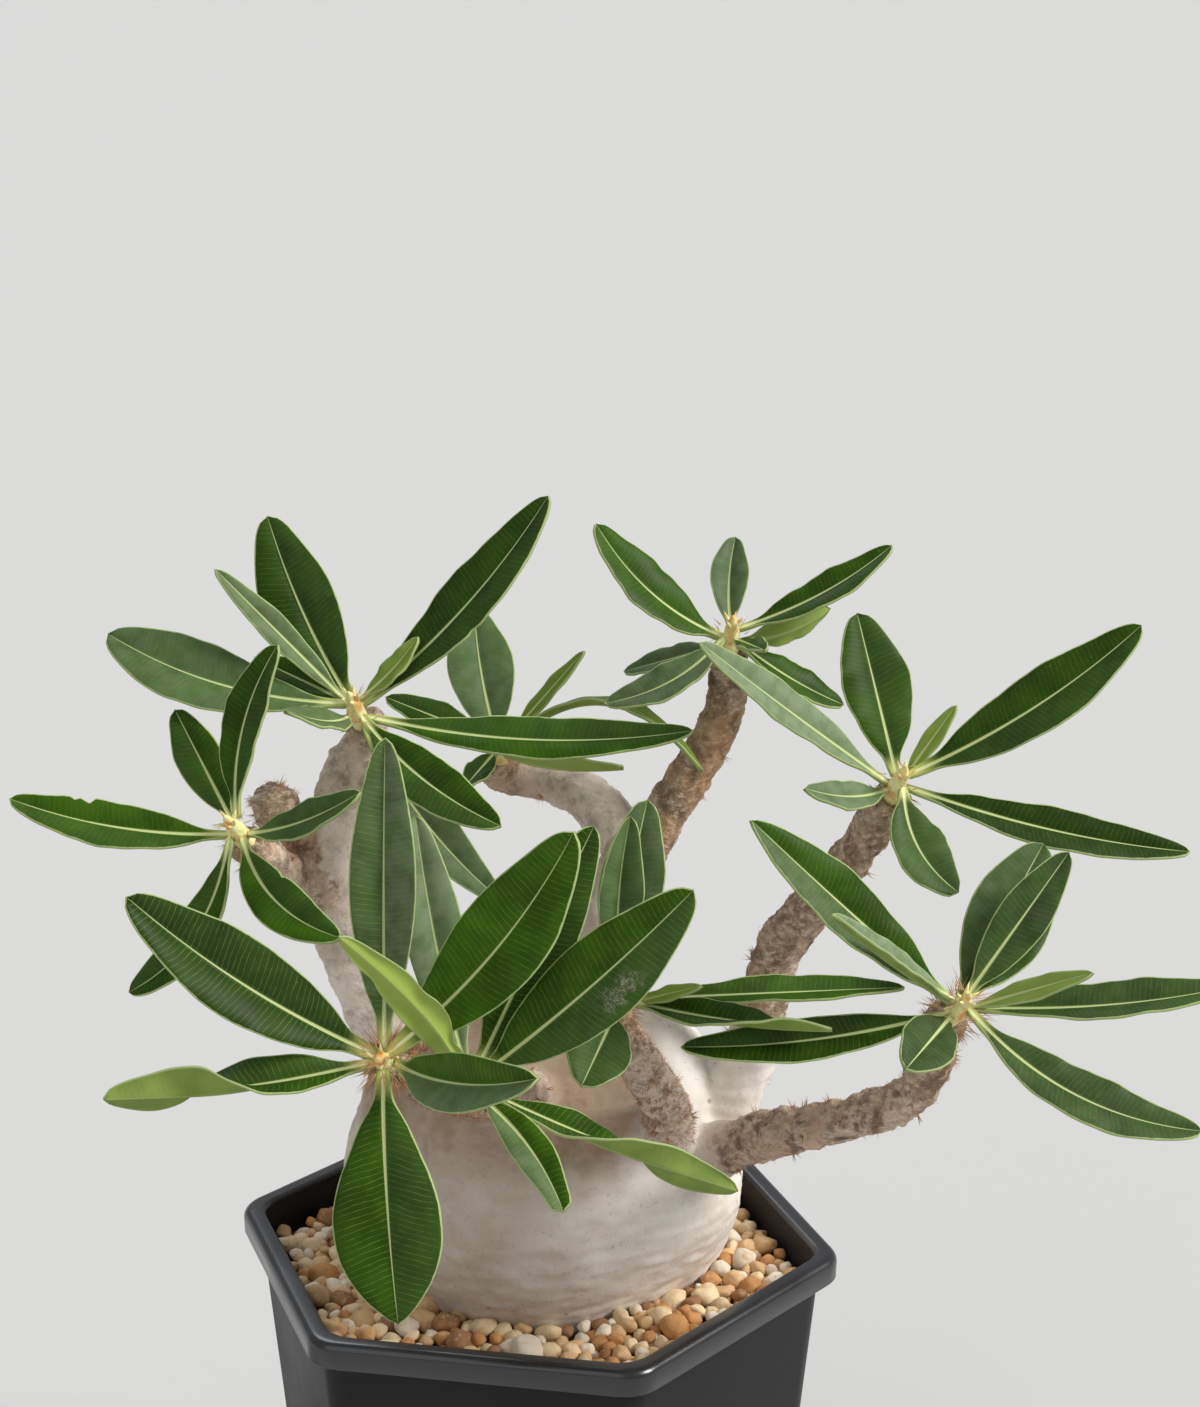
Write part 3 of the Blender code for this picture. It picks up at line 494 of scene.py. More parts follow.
def leaf_pattern(graph):
    """The values that every leaf pattern is made from."""
    across, upward, _ = graph.add("UVMap", uv_map="leaf").split("SeparateXYZ")
    turn = graph.calc("MULTIPLY_ADD", across, 2.0, -1.0)
    along = upward * ALONG_SCALE
    half, share, chance, veined = graph.attribute("blade")
    half = half * HALF_SCALE
    side = graph.calc("GREATER_THAN", turn, 0.0)
    cloud = graph.add("CombineXYZ", (turn * half, along, chance * 90.0))
    return Blade(abs(turn), along, half, share, abs(turn) * half, side, cloud, chance, veined)


def vein_lines(blade, spacing, width):
    """Thin side veins that leave the midrib at a wide angle and bend towards the tip."""
    shift = blade.cloud.noise(0.12, 2.0) * (1.6 * spacing) + blade.side * (0.5 * spacing)
    row = blade.along - blade.off * VEIN_SLANT + shift
    phase = row.graph.calc("FRACT", row / spacing)
    fade = blade.edge.ramp(0.80, 0.99, 1.0, 0.25) * blade.veined
    uneven = blade.cloud.noise(0.45, 3.0, 0.7).ramp(0.36, 0.64, 0.34, 1.0)
    return abs(phase - 0.5).ramp(0.0, width, 1.0, 0.0) * (fade * uneven)


def dusty_specks(blade):
    """Pale specks in one patch on the right half of the leaf."""
    specks = blade.cloud.noise(2.3, 4.0, 0.8).ramp(0.46, 0.60)
    clumps = blade.cloud.noise(0.30, 2.0).ramp(0.42, 0.56)
    from_patch = abs(blade.share - DUST_PLACE)
    patch = from_patch.ramp(0.3 * DUST_REACH, DUST_REACH, 1.0, 0.0) * (1.0 - blade.side)
    between = blade.edge.ramp(0.15, 0.4) * blade.edge.ramp(0.70, 0.88, 1.0, 0.0)
    return specks * clumps * patch * between


def leaf_top():
    """Dark green upper faces with a pale midrib, fine side veins, a thin pale margin and painted sheen.
    """
    graph = Graph("leaf_top", Specular_IOR_Level=0.09, Coat_Weight=0.01, Coat_Roughness=0.30)
    blade = leaf_pattern(graph)
    cloud = blade.cloud
    young, sheen, sheen_side, dust = graph.attribute("look")
    patches = cloud.noise(0.11)
    fine = cloud.noise(1.6, 2.0)
    green = patches.ramp(0.34, 0.66).between((0.019, 0.053, 0.0014), (0.033, 0.088, 0.0025))
    # Each leaf's green is scaled by its shade: random for most, partly painted light and shade for
    # listed ones.
    green = graph.mix(1.0, green, blade.chance.ramp(0.0, 1.0, 0.50, 1.50), "MULTIPLY")
    green = green.tint(fine.ramp(0.3, 0.75, 0.0, 0.16), (0.046, 0.094, 0.006))
    green = green.tint(young * 0.90, (0.28, 0.40, 0.07))
    # Painted sheen: a grey-green wash on one or both halves of the leaf, for reflected light.
    on_side = abs(sheen_side - blade.side).ramp(0.5, 1.0, 1.0, 0.0)
    film = sheen * on_side * cloud.noise(0.3).ramp(0.3, 0.65, 0.6, 1.0)
    green = green.tint(film, (0.26, 0.33, 0.20))
    veins = vein_lines(blade, VEIN_SPACING, 0.08)
    forks = vein_lines(blade, VEIN_SPACING * 0.41, 0.14)
    green = green.tint(veins * 0.56 + forks * 0.10, (0.23, 0.35, 0.06))
    from_rib = blade.off / blade.share.ramp(0.0, 0.95, 0.40, 0.095)
    rib = 1.0 - from_rib.ramp(0.60, 1.25)
    green = green.tint((1.0 - from_rib.ramp(0.9, 2.6)) * 0.14, (0.13, 0.23, 0.03))
    foot = blade.share.ramp(0.02, 0.14, 1.0, 0.0)
    green = green.tint(foot * 0.90, (0.64, 0.72, 0.18))
    green = green.tint(rib * blade.share.ramp(0.88, 1.0, 0.92, 0.30),
                       foot.between((0.59, 0.66, 0.30), (0.94, 0.94, 0.56)))
    rim_width = graph.calc("MULTIPLY_ADD", cloud.noise(0.5, 2.0), 0.24, 0.06)
    rim = ((blade.half - blade.off) / rim_width).ramp(1.0, 1.7, 0.95, 0.0)
    green = green.tint(rim, (0.40, 0.49, 0.20))
    green = green.tint(dusty_specks(blade) * dust * 0.8, (0.42, 0.36, 0.29))
    # Painted glints: tiny sheen-coloured dots over the blade.
    sheen_dots = cloud.cells(0.22).ramp(0.02, 0.06, 0.25, 0.0)
    green = green.tint(sheen_dots, (0.26, 0.33, 0.19))
    gloss = patches.ramp(0.3, 0.7, 0.40, 0.50) + film * 0.25
    return graph.finish(green, gloss, fine * 0.30 - veins * 0.08 - rib * 0.9, 0.50, 0.14)


def leaf_under():
    """Lighter yellow-green undersides with a raised midrib and faint veins."""
    graph = Graph("leaf_under", Specular_IOR_Level=0.30)
    blade = leaf_pattern(graph)
    patches = blade.cloud.noise(0.16)
    green = patches.ramp(0.34, 0.66).between((0.165, 0.245, 0.042), (0.22, 0.31, 0.056))
    green = green.tint(graph.attribute("look")[0], (0.32, 0.42, 0.07))
    veins = vein_lines(blade, VEIN_SPACING, 0.2)
    green = green.tint(veins * 0.16, (0.26, 0.35, 0.11))
    from_rib = blade.off / blade.share.ramp(0.0, 0.95, 0.52, 0.14)
    green = green.tint((1.0 - from_rib.ramp(0.5, 1.4)) * 0.6, (0.40, 0.47, 0.16))
    green = green.tint((blade.half - blade.off).ramp(0.08, 0.34, 0.7, 0.0), (0.33, 0.41, 0.15))
    height = blade.cloud.noise(1.8, 2.0) * 0.35 + veins * 0.4
    return graph.finish(green, patches.ramp(0.3, 0.7, 0.50, 0.62), height, 0.35, 0.12)


def heart_material():
    """Felted hearts: yellow-green at the leaf feet, orange-brown between them."""
    graph = Graph("heart", Specular_IOR_Level=0.25)
    felt = graph.place().noise(900.0, 4.0, 0.7)
    patches = graph.place().noise(260.0).ramp(0.46, 0.66)
    tone = patches.between((0.90, 0.86, 0.40), (0.84, 0.42, 0.13))
    tone = tone.tint(felt.ramp(0.48, 0.75, 0.0, 0.7), (0.93, 0.84, 0.54))
    tone = tone.tint(felt.ramp(0.25, 0.40, 0.35, 0.0), (0.38, 0.20, 0.07))
    return graph.finish(tone, 0.85, felt, 0.9, 0.35)


def bristle_material():
    """Stiff bristles: pale straw at the root, rust red towards the point."""
    graph = Graph("bristle", Specular_IOR_Level=0.35)
    tip, chance, dry, _ = graph.attribute("look")
    fresh = tip.between((0.78, 0.50, 0.23), (0.62, 0.23, 0.085))
    old = tip.between((0.52, 0.31, 0.17), (0.40, 0.15, 0.07))
    tone = dry.between(fresh, old).tint(chance * 0.5, (0.48, 0.40, 0.30))
    grain = graph.place(0.3).noise(3000.0, 2.0)
    return graph.finish(tone.tint(grain.ramp(0.35, 0.7, 0.0, 0.3), (0.12, 0.05, 0.025)), 0.6)


def bulb_skin(graph, cloud, film, brown, light):
    """The caudex's skin: silvery beige, browner above its crease, with stains, moss and painted light.
    """
    place = graph.place()
    skin = cloud.ramp(0.36, 0.64).between((0.52, 0.415, 0.31), (0.69, 0.61, 0.51))
    skin = skin.tint(place.noise(58.0, 4.0, 0.6).ramp(0.52, 0.68, 0.0, 0.48), (0.40, 0.27, 0.17))
    skin = skin.tint(film.ramp(0.46, 0.70, 0.0, 0.50), (0.84, 0.79, 0.71))
    skin = skin.tint(film.ramp(0.26, 0.42, 0.30, 0.0), (0.36, 0.26, 0.175))
    tan = cloud.ramp(0.4, 0.62).between((0.25, 0.145, 0.078), (0.42, 0.29, 0.185))
    mottle = place.noise(120.0, 4.0, 0.65).ramp(0.50, 0.66, 0.0, 0.6)
    tan = tan.tint(mottle, (0.26, 0.13, 0.06))
    skin = skin.tint(brown * cloud.ramp(0.30, 0.60, 0.60, 0.95), tan)
    # Painted light: the lit side of the bulb is painted near white.
    skin = skin.tint(light * film.ramp(0.30, 0.62, 0.45, 0.95), (0.92, 0.88, 0.82))
    moss = place.noise(70.0, 3.0, 0.6).ramp(0.54, 0.68, 0.0, 0.5)
    return skin.tint(moss * brown, (0.16, 0.15, 0.065))


def stem_skin(graph, plates, light):
    """The branches' rough bark: flakes, rust, pale powder, scars, dark knots, and painted light on its
    plates.
    """
    place = graph.place()
    flakes = place.noise(210.0, 5.0, 0.68)
    stem = flakes.ramp(0.38, 0.60).between((0.23, 0.14, 0.08), (0.46, 0.335, 0.22))
    # Raised plates painted paler, partly pale flakes and partly painted highlight; painted shade
    # between them.
    stem = stem.tint(plates.ramp(0.48, 0.62, 0.0, 0.80), (0.72, 0.60, 0.46))
    stem = stem.tint(plates.ramp(0.30, 0.45, 0.85, 0.0), (0.085, 0.048, 0.028))
    stem = stem.tint(place.noise(62.0, 3.0, 0.6).ramp(0.47, 0.66, 0.0, 0.55), (0.52, 0.27, 0.12))
    powder = light * flakes.ramp(0.30, 0.60, 0.55, 1.0) * 0.85
    stem = stem.tint(powder, (0.82, 0.65, 0.52))
    scars = place.noise(270.0, 4.0, 0.7).ramp(0.50, 0.64, 0.0, 0.70)
    stem = stem.tint(scars, (0.13, 0.076, 0.045))
    return stem.tint(place.cells(95.0).ramp(0.08, 0.20, 0.85, 0.0), (0.07, 0.038, 0.022))


def bark_material():
    """Smooth skin on the caudex that turns to rough bark along the branches."""
    graph = Graph("bark", Specular_IOR_Level=0.3)
    # light: painted light on the bulb's lit side, and on the branches their own pale bark.
    branch, rough, brown, light = graph.attribute("bark")
    place = graph.place()
    cloud = place.noise(34.0, 4.0, 0.6)
    film = graph.place(1.4).noise(48.0, 5.0, 0.60)
    grain = place.noise(950.0, 4.0, 0.7)
    plates = graph.place(1.6).noise(480.0, 4.0, 0.7)
    share = graph.calc("MULTIPLY", branch, rough, clamp=True)
    tone = share.between(bulb_skin(graph, cloud, film, brown, light),
                         stem_skin(graph, plates, light))
    pits = place.cells(150.0).ramp(0.03, 0.11, 0.5, 0.0) * cloud.ramp(0.3, 0.6)
    tone = tone.tint(pits, (0.13, 0.085, 0.055))
    tone = tone.tint(grain.ramp(0.28, 0.42, 0.35, 0.0), (0.15, 0.105, 0.07))
    wrinkle = graph.place(7.0).noise(110.0, 4.0, 0.6)
    height = wrinkle * 0.17 + grain * 0.16 + plates * share * 1.6
    return graph.finish(tone, film.ramp(0.3, 0.7, 0.55, 0.80), height, 0.85, 0.70)


def stone_material():
    """Dry pebbles, each with its own colour, with grain, stains and dusty spots."""
    graph = Graph("stone", Specular_IOR_Level=0.4)
    grain = graph.place().noise(900.0, 4.0, 0.7)
    stain = graph.place().noise(190.0)
    tone = graph.add("Attribute", (), "Color", attribute_name="tone")
    tone = tone.tint(stain.ramp(0.52, 0.70, 0.0, 0.55), (0.56, 0.27, 0.085))
    tone = tone.tint(grain.ramp(0.54, 0.74, 0.0, 0.5), (0.80, 0.72, 0.60))
    tone = tone.tint(grain.ramp(0.26, 0.40, 0.6, 0.0), (0.16, 0.095, 0.055))
    return graph.finish(tone, stain.ramp(0.3, 0.7, 0.62, 0.85), grain, 0.7, 0.4)


def soil_material():
    """Dark crumbly growing mix with bits of bark and pumice."""
    graph = Graph("growing_mix", Specular_IOR_Level=0.2)
    crumbs = graph.place().cells(420.0)
    cloud = graph.place().noise(150.0, 4.0)
    tone = cloud.ramp(0.35, 0.65).between((0.03, 0.019, 0.012), (0.095, 0.06, 0.036))
    tone = tone.tint(crumbs.ramp(0.08, 0.2, 0.55, 0.0), (0.30, 0.24, 0.18))
    return graph.finish(tone, 0.95, crumbs + cloud, 1.0, 1.2)


def plastic_material(name, shine, dullness, dark, light):
    """Black moulded plastic with a fine grain, faint scuffs and a little dust."""
    graph = Graph(name, Specular_IOR_Level=shine)
    place = graph.place()
    cloud = place.noise(24.0, 4.0, 0.6)
    scuffs = graph.place(0.08).noise(700.0, 3.0, 0.7)
    tone = cloud.ramp(0.35, 0.65).between(dark, light)
    tone = tone.tint(scuffs.ramp(0.60, 0.80, 0.0, 0.3), (0.03, 0.03, 0.032))
    tone = tone.tint(place.cells(330.0).ramp(0.02, 0.05, 0.4, 0.0), (0.12, 0.105, 0.09))
    height = place.noise(2600.0, 2.0) + scuffs * 0.4
    return graph.finish(tone, cloud.ramp(0.3, 0.7, dullness, dullness + 0.12), height, 0.30, 0.06)


def floor_material():
    """A plain pale floor."""
    graph = Graph("pale_floor", Specular_IOR_Level=0.3)
    cloud = graph.place().noise(5.0).ramp(0.3, 0.7)
    return graph.finish(cloud.between((0.62, 0.615, 0.606), (0.626, 0.621, 0.612)), 0.85)


def polar(radius, angle):
    """X and Y of the place at a distance and an angle."""
    return radius * math.cos(angle), radius * math.sin(angle)


def circle(sides):
    """The angles of evenly spaced points round a circle."""
    return [math.tau * side / sides for side in range(sides)]


def band_faces(count, sides, first=0):
    """The faces of a tube of rings, with both ends closed."""
    faces = []
    for i in range(count - 1):
        low = first + i * sides
        for j in range(sides):
            k = (j + 1) % sides
            faces.append((low + j, low + k, low + sides + k, low + sides + j))
    faces.append(tuple(first + j for j in reversed(range(sides))))
    faces.append(tuple(first + (count - 1) * sides + j for j in range(sides)))
    return faces


def link(name, data):
    """A new object in the scene."""
    thing = bpy.data.objects.new(name, data)
    bpy.context.scene.collection.objects.link(thing)
    return thing


def add_layer(mesh, name, values):
    """Keep four numbers with each point of the mesh."""
    layer = mesh.attributes.new(name, "FLOAT_COLOR", "POINT")
    layer.data.foreach_set("color", np.array(values, np.float32).ravel())


def make_object(name, points, faces, materials=()):
    """A smooth object for points in millimetres."""
    mesh = bpy.data.meshes.new(name)
    mesh.from_pydata([tuple(point) for point in np.array(points) * MM], [], faces)
    for material in materials:
        mesh.materials.append(material)
    mesh.update()
    mesh.shade_smooth()
    return link(name, mesh)


def tube_object(name, tubes):
    """An object for closed tubes, each of them rings of points."""
    points = []
    faces = []
    for rings in tubes:
        faces += band_faces(len(rings), len(rings[0]), len(points))
        points += [point for ring in rings for point in ring]
    return make_object(name, points, faces)


class Shape:
    """Parts that grow into one mesh, with the material of each face and the looks of each point."""

    def __init__(self):
        self.points = []
        self.faces = []
        self.kinds = []
        self.looks = []
        self.blades = []
        self.places = []

    def add(self, points, faces, kinds, looks, blades=None, places=None):
        """Add a part."""
        first = len(self.points)
        self.points += points
        self.faces += [tuple(first + index for index in face) for face in faces]
        self.kinds += kinds
        self.looks += looks
        self.blades += blades or [(0.0, 0.0, 0.0, 1.0)] * len(points)
        self.places += places or [(0.5, 0.0)] * len(points)

    def make(self, name, materials):
        """The object."""
        thing = make_object(name, self.points, self.faces, materials)
        mesh = thing.data
        mesh.polygons.foreach_set("material_index", self.kinds)
        add_layer(mesh, "look", self.looks)
        add_layer(mesh, "blade", self.blades)
        corners = np.zeros(len(mesh.loops), np.int32)
        mesh.loops.foreach_get("vertex_index", corners)
        layer = mesh.uv_layers.new(name="leaf")
        layer.data.foreach_set("uv", np.array(self.places, np.float32)[corners].ravel())
        mesh.update()
        return thing


def modify(thing, kind, **settings):
    """Give an object a modifier."""
    modifier = thing.modifiers.new(kind, kind)
    for name, value in settings.items():
        setattr(modifier, name, value)


def apply_modifiers(thing):
    """Keep the mesh that the object's modifiers give, and drop the modifiers."""
    depsgraph = bpy.context.evaluated_depsgraph_get()
    mesh = bpy.data.meshes.new_from_object(thing.evaluated_get(depsgraph))
    thing.modifiers.clear()
    thing.data = mesh


def dress(thing, node):
    """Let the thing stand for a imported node."""
    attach(thing, "root")
    if node:
        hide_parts(node)


def hexagon(radius, height):
    """A ring of points: a hexagon with rounded corners that reach out to a radius."""
    points = []
    for side in range(6):
        middle = math.radians(POT_TURN + 60 * side)
        x, y = polar(radius - POT_CORNER, middle)
        for step in range(CORNER_POINTS):
            turn = math.radians(-30 + 60 * step / (CORNER_POINTS - 1))
            off_x, off_y = polar(POT_CORNER, middle + turn)
            points.append((x + off_x, y + off_y, height))
    return points


def pot_outer_radius(height):
    """The pot body's corner radius outside, at a height."""
    neck = POT_HEIGHT - POT_LIP_DROP
    return POT_FOOT_RADIUS + (POT_NECK_RADIUS - POT_FOOT_RADIUS) * height / neck


def pot_inner_radius(height):
    """The pot body's corner radius inside, at a height."""
    return pot_outer_radius(height) - POT_WALL


def quarter_round(middle, radius, start, count):
    """Radius and height of points on a quarter of a circle that touches the pot's top."""
    points = []
    for step in range(count):
        out, up = polar(radius, math.radians(start + 90 * step / (count - 1)))
        points.append((middle + out, POT_HEIGHT - radius + up))
    return points


def pot_profile():
    """Radius and height round the pot's wall: up the outside, over the rolled lip and down inside."""
    groove = POT_HEIGHT - POT_WALL
    lip_foot = POT_HEIGHT - POT_LIP_DROP
    skirt = POT_LIP_RADIUS - POT_WALL
    outer = pot_outer_radius(groove)
    inner = pot_inner_radius(POT_FLOOR)
    edge = pot_inner_radius(POT_HEIGHT) + POT_INNER_ROUND
    profile = [(POT_FOOT_RADIUS + out, height) for out, height in POT_FOOT_BEVEL]
    profile += [(pot_outer_radius(height), height) for height in POT_OUTER_HEIGHTS]
    profile += [(outer, groove - 0.5), (outer + 0.5, groove), (skirt - 0.3, groove),
                (skirt, groove - 0.4), (skirt, lip_foot + 0.4), (skirt + 0.5, lip_foot),
                (POT_LIP_RADIUS - 0.6, lip_foot), (POT_LIP_RADIUS - 0.1, lip_foot + 0.5)]
    profile += quarter_round(POT_LIP_RADIUS - POT_OUTER_ROUND, POT_OUTER_ROUND, 0, 7)
    profile += quarter_round(edge, POT_INNER_ROUND, 90, 6)
    profile += [(pot_inner_radius(height), height) for height in POT_INNER_HEIGHTS]
    return profile + [(inner + 0.2, POT_FLOOR + 1.6), (inner - 1.4, POT_FLOOR)]


def make_pot():
    """The hexagonal pot with a rounded, turned-down lip and drain holes."""
    pot = tube_object("pot_body", [[hexagon(*row) for row in pot_profile()]])
    for hole in range(DRAIN_HOLES):
        x, y = polar(DRAIN_CIRCLE, math.radians(POT_TURN + 60 * hole))
        rings = []
        for height in (-2 * POT_FLOOR, 2 * POT_FLOOR):
            ring = [polar(DRAIN_RADIUS, angle) for angle in circle(DRAIN_SIDES)]
            rings.append([(x + off_x, y + off_y, height) for off_x, off_y in ring])
        drain = tube_object("drain", [rings])
        modify(pot, "BOOLEAN", operation="DIFFERENCE", object=drain)
        apply_modifiers(pot)
        bpy.data.objects.remove(drain, do_unlink=True)
    for finish in POT_FINISHES:
        pot.data.materials.append(plastic_material(*finish))
    for face in pot.data.polygons:
        spot = face.center / MM
        outward = (face.normal.x * spot.x + face.normal.y * spot.y) / math.hypot(spot.x, spot.y)
        if spot.z > POT_HEIGHT - POT_LIP_DROP and (outward > 0.1 or face.normal.z > 0.3):
            face.material_index = 1
    pot.data.shade_smooth()
    pot.data.set_sharp_from_angle(angle=math.radians(48))
    dress(pot, "pot")


def from_bulb(x, y):
    """How far a place is from the bulb's middle, if the bulb were as deep as it is wide."""
    return x - BULB_CENTRE[0], (y - BULB_CENTRE[1]) / BULB_DEPTH_SHARE


def bulb_radius(height, angle):
    """The bulb's radius at a height and angle, with its soft lumps."""
    radius = float(np.interp(height, BULB_HEIGHTS, BULB_RADII))
    lumps = 0.022 * math.sin(3 * angle + 0.6) + 0.014 * math.sin(5 * angle + 2 + height / 14)
    return radius * (1 + lumps)


def pebble_places(count, sizes, spacing, height, draw):
    """Places and sizes of one layer of pebbles, inside the wall and round the caudex."""
    corner = pot_inner_radius(height)
    flat = (corner - POT_CORNER) * math.cos(math.radians(30)) + POT_CORNER
    flats = [math.radians(POT_TURN + 30 + 60 * side) for side in range(6)]
    places = []
    grid = {}
    for _ in range(count * PEBBLE_TRIES):
        if len(places) == count:
            break
        x = draw.uniform(-corner, corner)
        y = draw.uniform(-corner, corner)
        size = sizes[0] + (sizes[1] - sizes[0]) * draw.random() ** 1.6
        reach = max(x * math.cos(turn) + y * math.sin(turn) for turn in flats)
        if reach + size * 1.02 > flat or math.hypot(x, y) + size * 1.02 > corner:
            continue
        off_x, off_y = from_bulb(x, y)
        if math.hypot(off_x, off_y) < bulb_radius(height, math.atan2(off_y, off_x)) + size * 0.55:
            continue
        column = int(x // PEBBLE_CELL)
        row = int(y // PEBBLE_CELL)
        near = []
        for i, j in itertools.product((-1, 0, 1), repeat=2):
            near += grid.get((column + i, row + j), [])
        if all(math.hypot(x - px, y - py) > spacing * (size + other) for px, py, other in near):
            places.append((x, y, size))
            grid.setdefault((column, row), []).append((x, y, size))
    return places


def ball(subdivisions):
    """Points and faces of a ball of radius one."""
    shape = bmesh.new()
    bmesh.ops.create_icosphere(shape, subdivisions=subdivisions, radius=1.0)
    shape.verts.ensure_lookup_table()
    points = np.array([vert.co for vert in shape.verts])
    faces = np.array([[vert.index for vert in face.verts] for face in shape.faces])
    shape.free()
    return points, faces


def pebble_points(ball_points, x, y, z, size, draw):
    """The points of one worn, uneven stone."""
    shift = Vector([draw.uniform(-50, 50) for _ in range(3)])
    points = []
    for point in ball_points:
        way = Vector(point)
        points.append(way * (1 + 0.22 * noise.noise(way * 1.1 + shift)
                             + 0.07 * noise.noise(way * 2.9 + shift)))
    points = np.array(points)
    for _ in range(3):
        cut = unit(np.array([draw.gauss(0, 1) for _ in range(3)]))
        over = points @ cut - draw.uniform(0.66, 0.86)
        points = points - np.outer(np.maximum(over, 0) * 0.8, cut)
    points = points * np.array([draw.uniform(*span) for span in PEBBLE_STRETCH])
    turn = Euler([draw.uniform(*span) for span in PEBBLE_TURNS]).to_matrix()
    return points @ np.array(turn).T * size + np.array((x, y, z))


def make_gravel():
    """Two layers of loose pebbles in cream, tan, orange and brown."""
    draw = random.Random(PEBBLE_SEED)
    tones = [tone for tone, weight in PEBBLE_TONES for _ in range(weight)]
    points = []
    faces = []
    colours = []
    for height, count, sizes, spacing, fineness in PEBBLE_LAYERS:
        ball_points, ball_faces = ball(fineness)
        for x, y, size in pebble_places(count, sizes, spacing, height, draw):
            z = height + draw.uniform(-0.3, 0.4) * size
            faces += (ball_faces + len(points)).tolist()
            points += pebble_points(ball_points, x, y, z, size, draw).tolist()
            shade = draw.uniform(0.82, 1.12)
            tone = [min(part * shade, 1.0) for part in draw.choice(tones)]
            colours += [(*tone, 1.0)] * len(ball_points)
    pebbles = make_object("pebbles", points, faces, [stone_material()])
    add_layer(pebbles.data, "tone", colours)
    dress(pebbles, "gravel")


def bulb_rings():
    """The bulb's rings of points above the soil, rounded between the rows of its profile."""
    top = BULB_HEIGHTS[-1]
    rings = []
    for height in [*np.arange(BULB_FOOT, top, BULB_STEP), top]:
        ring = []
        for angle in circle(BULB_SIDES):
            near = [bulb_radius(height + shift, angle) for shift in (-BULB_BLUR, 0.0, BULB_BLUR)]
            radius = 0.25 * near[0] + 0.5 * near[1] + 0.25 * near[2] if height < top - 2 else near[1]
            ring.append((BULB_CENTRE[0] + radius * math.cos(angle),
                         BULB_CENTRE[1] + radius * BULB_DEPTH_SHARE * math.sin(angle), height))
        rings.append(ring)
    return rings


def branch_course(name):
    """Places and radii along a branch, on a smooth curve through its points."""
    points, radii, head = BRANCHES[name]
    if head:
        axis = np.array(rosette_axis(ROSETTES[head]))
        heart = np.array(ROSETTES[head].heart)
        points = (*points, heart - axis * HEART_NECK, heart - axis * HEART_ROOT)
    points = np.array(points, float)
    last = len(points) - 2
    places = []
    sizes = []
    for i in range(last + 1):
        start, end = points[i:i + 2]
        before = points[max(i - 1, 0)]
        after = points[min(i + 2, last + 1)]
        for k in range(BRANCH_STEPS + (1 if i == last else 0)):
            t = k / BRANCH_STEPS
            places.append(0.5 * (2 * start + (end - before) * t
                                 + (2 * before - 5 * start + 4 * end - after) * t ** 2
                                 + (3 * start - before - 3 * end + after) * t ** 3))
            sizes.append(radii[i] + (radii[i + 1] - radii[i]) * t)
    return np.array(places), np.array(sizes)


def branch_frames(name):
    """Places, radii, two side directions and the direction onwards along a branch."""
    places, sizes = branch_course(name)
    tangents = np.gradient(places, axis=0)
    side = np.cross(unit(tangents[0]), (0.3, 1.0, 0.2))
    rows = []
    for centre, size, tangent in zip(places, sizes, tangents):
        tangent = unit(tangent)
        side = unit(side - tangent * (side @ tangent))
        rows.append((centre, size, side, np.cross(tangent, side), tangent))
    return rows


def branch_rings(name):
    """Rings of points round a branch."""
    rings = []
    for number, (centre, size, side, other, _) in enumerate(branch_frames(name)):
        ring = []
        for angle in circle(BRANCH_SIDES):
            lumps = math.sin(0.55 * number) + math.sin(3 * angle + number / 4)
            radius = size * (1 + BRANCH_LUMPS * lumps)
            ring.append(centre + radius * (math.cos(angle) * side + math.sin(angle) * other))
        rings.append(ring)
    return rings


def make_caudex():
    """The bulb and its branches, melted together and given the skin's lumps and folds."""
    caudex = tube_object("caudex_skin", [bulb_rings()] + [branch_rings(name) for name in BRANCHES])
    modify(caudex, "REMESH", mode="VOXEL", voxel_size=BARK_VOXEL * MM, use_smooth_shade=True)
    modify(caudex, "SMOOTH", factor=0.5, iterations=4)
    apply_modifiers(caudex)
    shape_bark(caudex.data)
    caudex.data.materials.clear()
    caudex.data.materials.append(bark_material())
    caudex.data.shade_smooth()
    dress(caudex, "caudex")


def vertex_rows(mesh, what):
    """A row of three numbers for each of the mesh's points."""
    rows = np.zeros(len(mesh.vertices) * 3, np.float32)
    mesh.vertices.foreach_get(what, rows)
    return rows.reshape(-1, 3)


def nearest_branch(points):
    """How rough and pale the branch nearest to each point is, and whether its foot is pale."""
    away = np.full(len(points), 1e9)
    rough, pale, pale_foot = np.zeros((3, len(points)))
    for name in BRANCHES:
        places, sizes = branch_course(name)
        for step, (place, size) in enumerate(zip(places, sizes)):
            end = max(0.0, (step / len(places) - ROUGH_END) / (1 - ROUGH_END))
            near = np.linalg.norm(points - place, axis=1) - size
            closer = near < away
            away[closer] = near[closer]
            rough[closer] = BARK_ROUGH[name] + (1 - BARK_ROUGH[name]) * end
            pale[closer] = BARK_LIGHT[name] * (1 - 0.75 * end)
            pale_foot[closer] = name in PALE_FEET
    return rough, pale, pale_foot


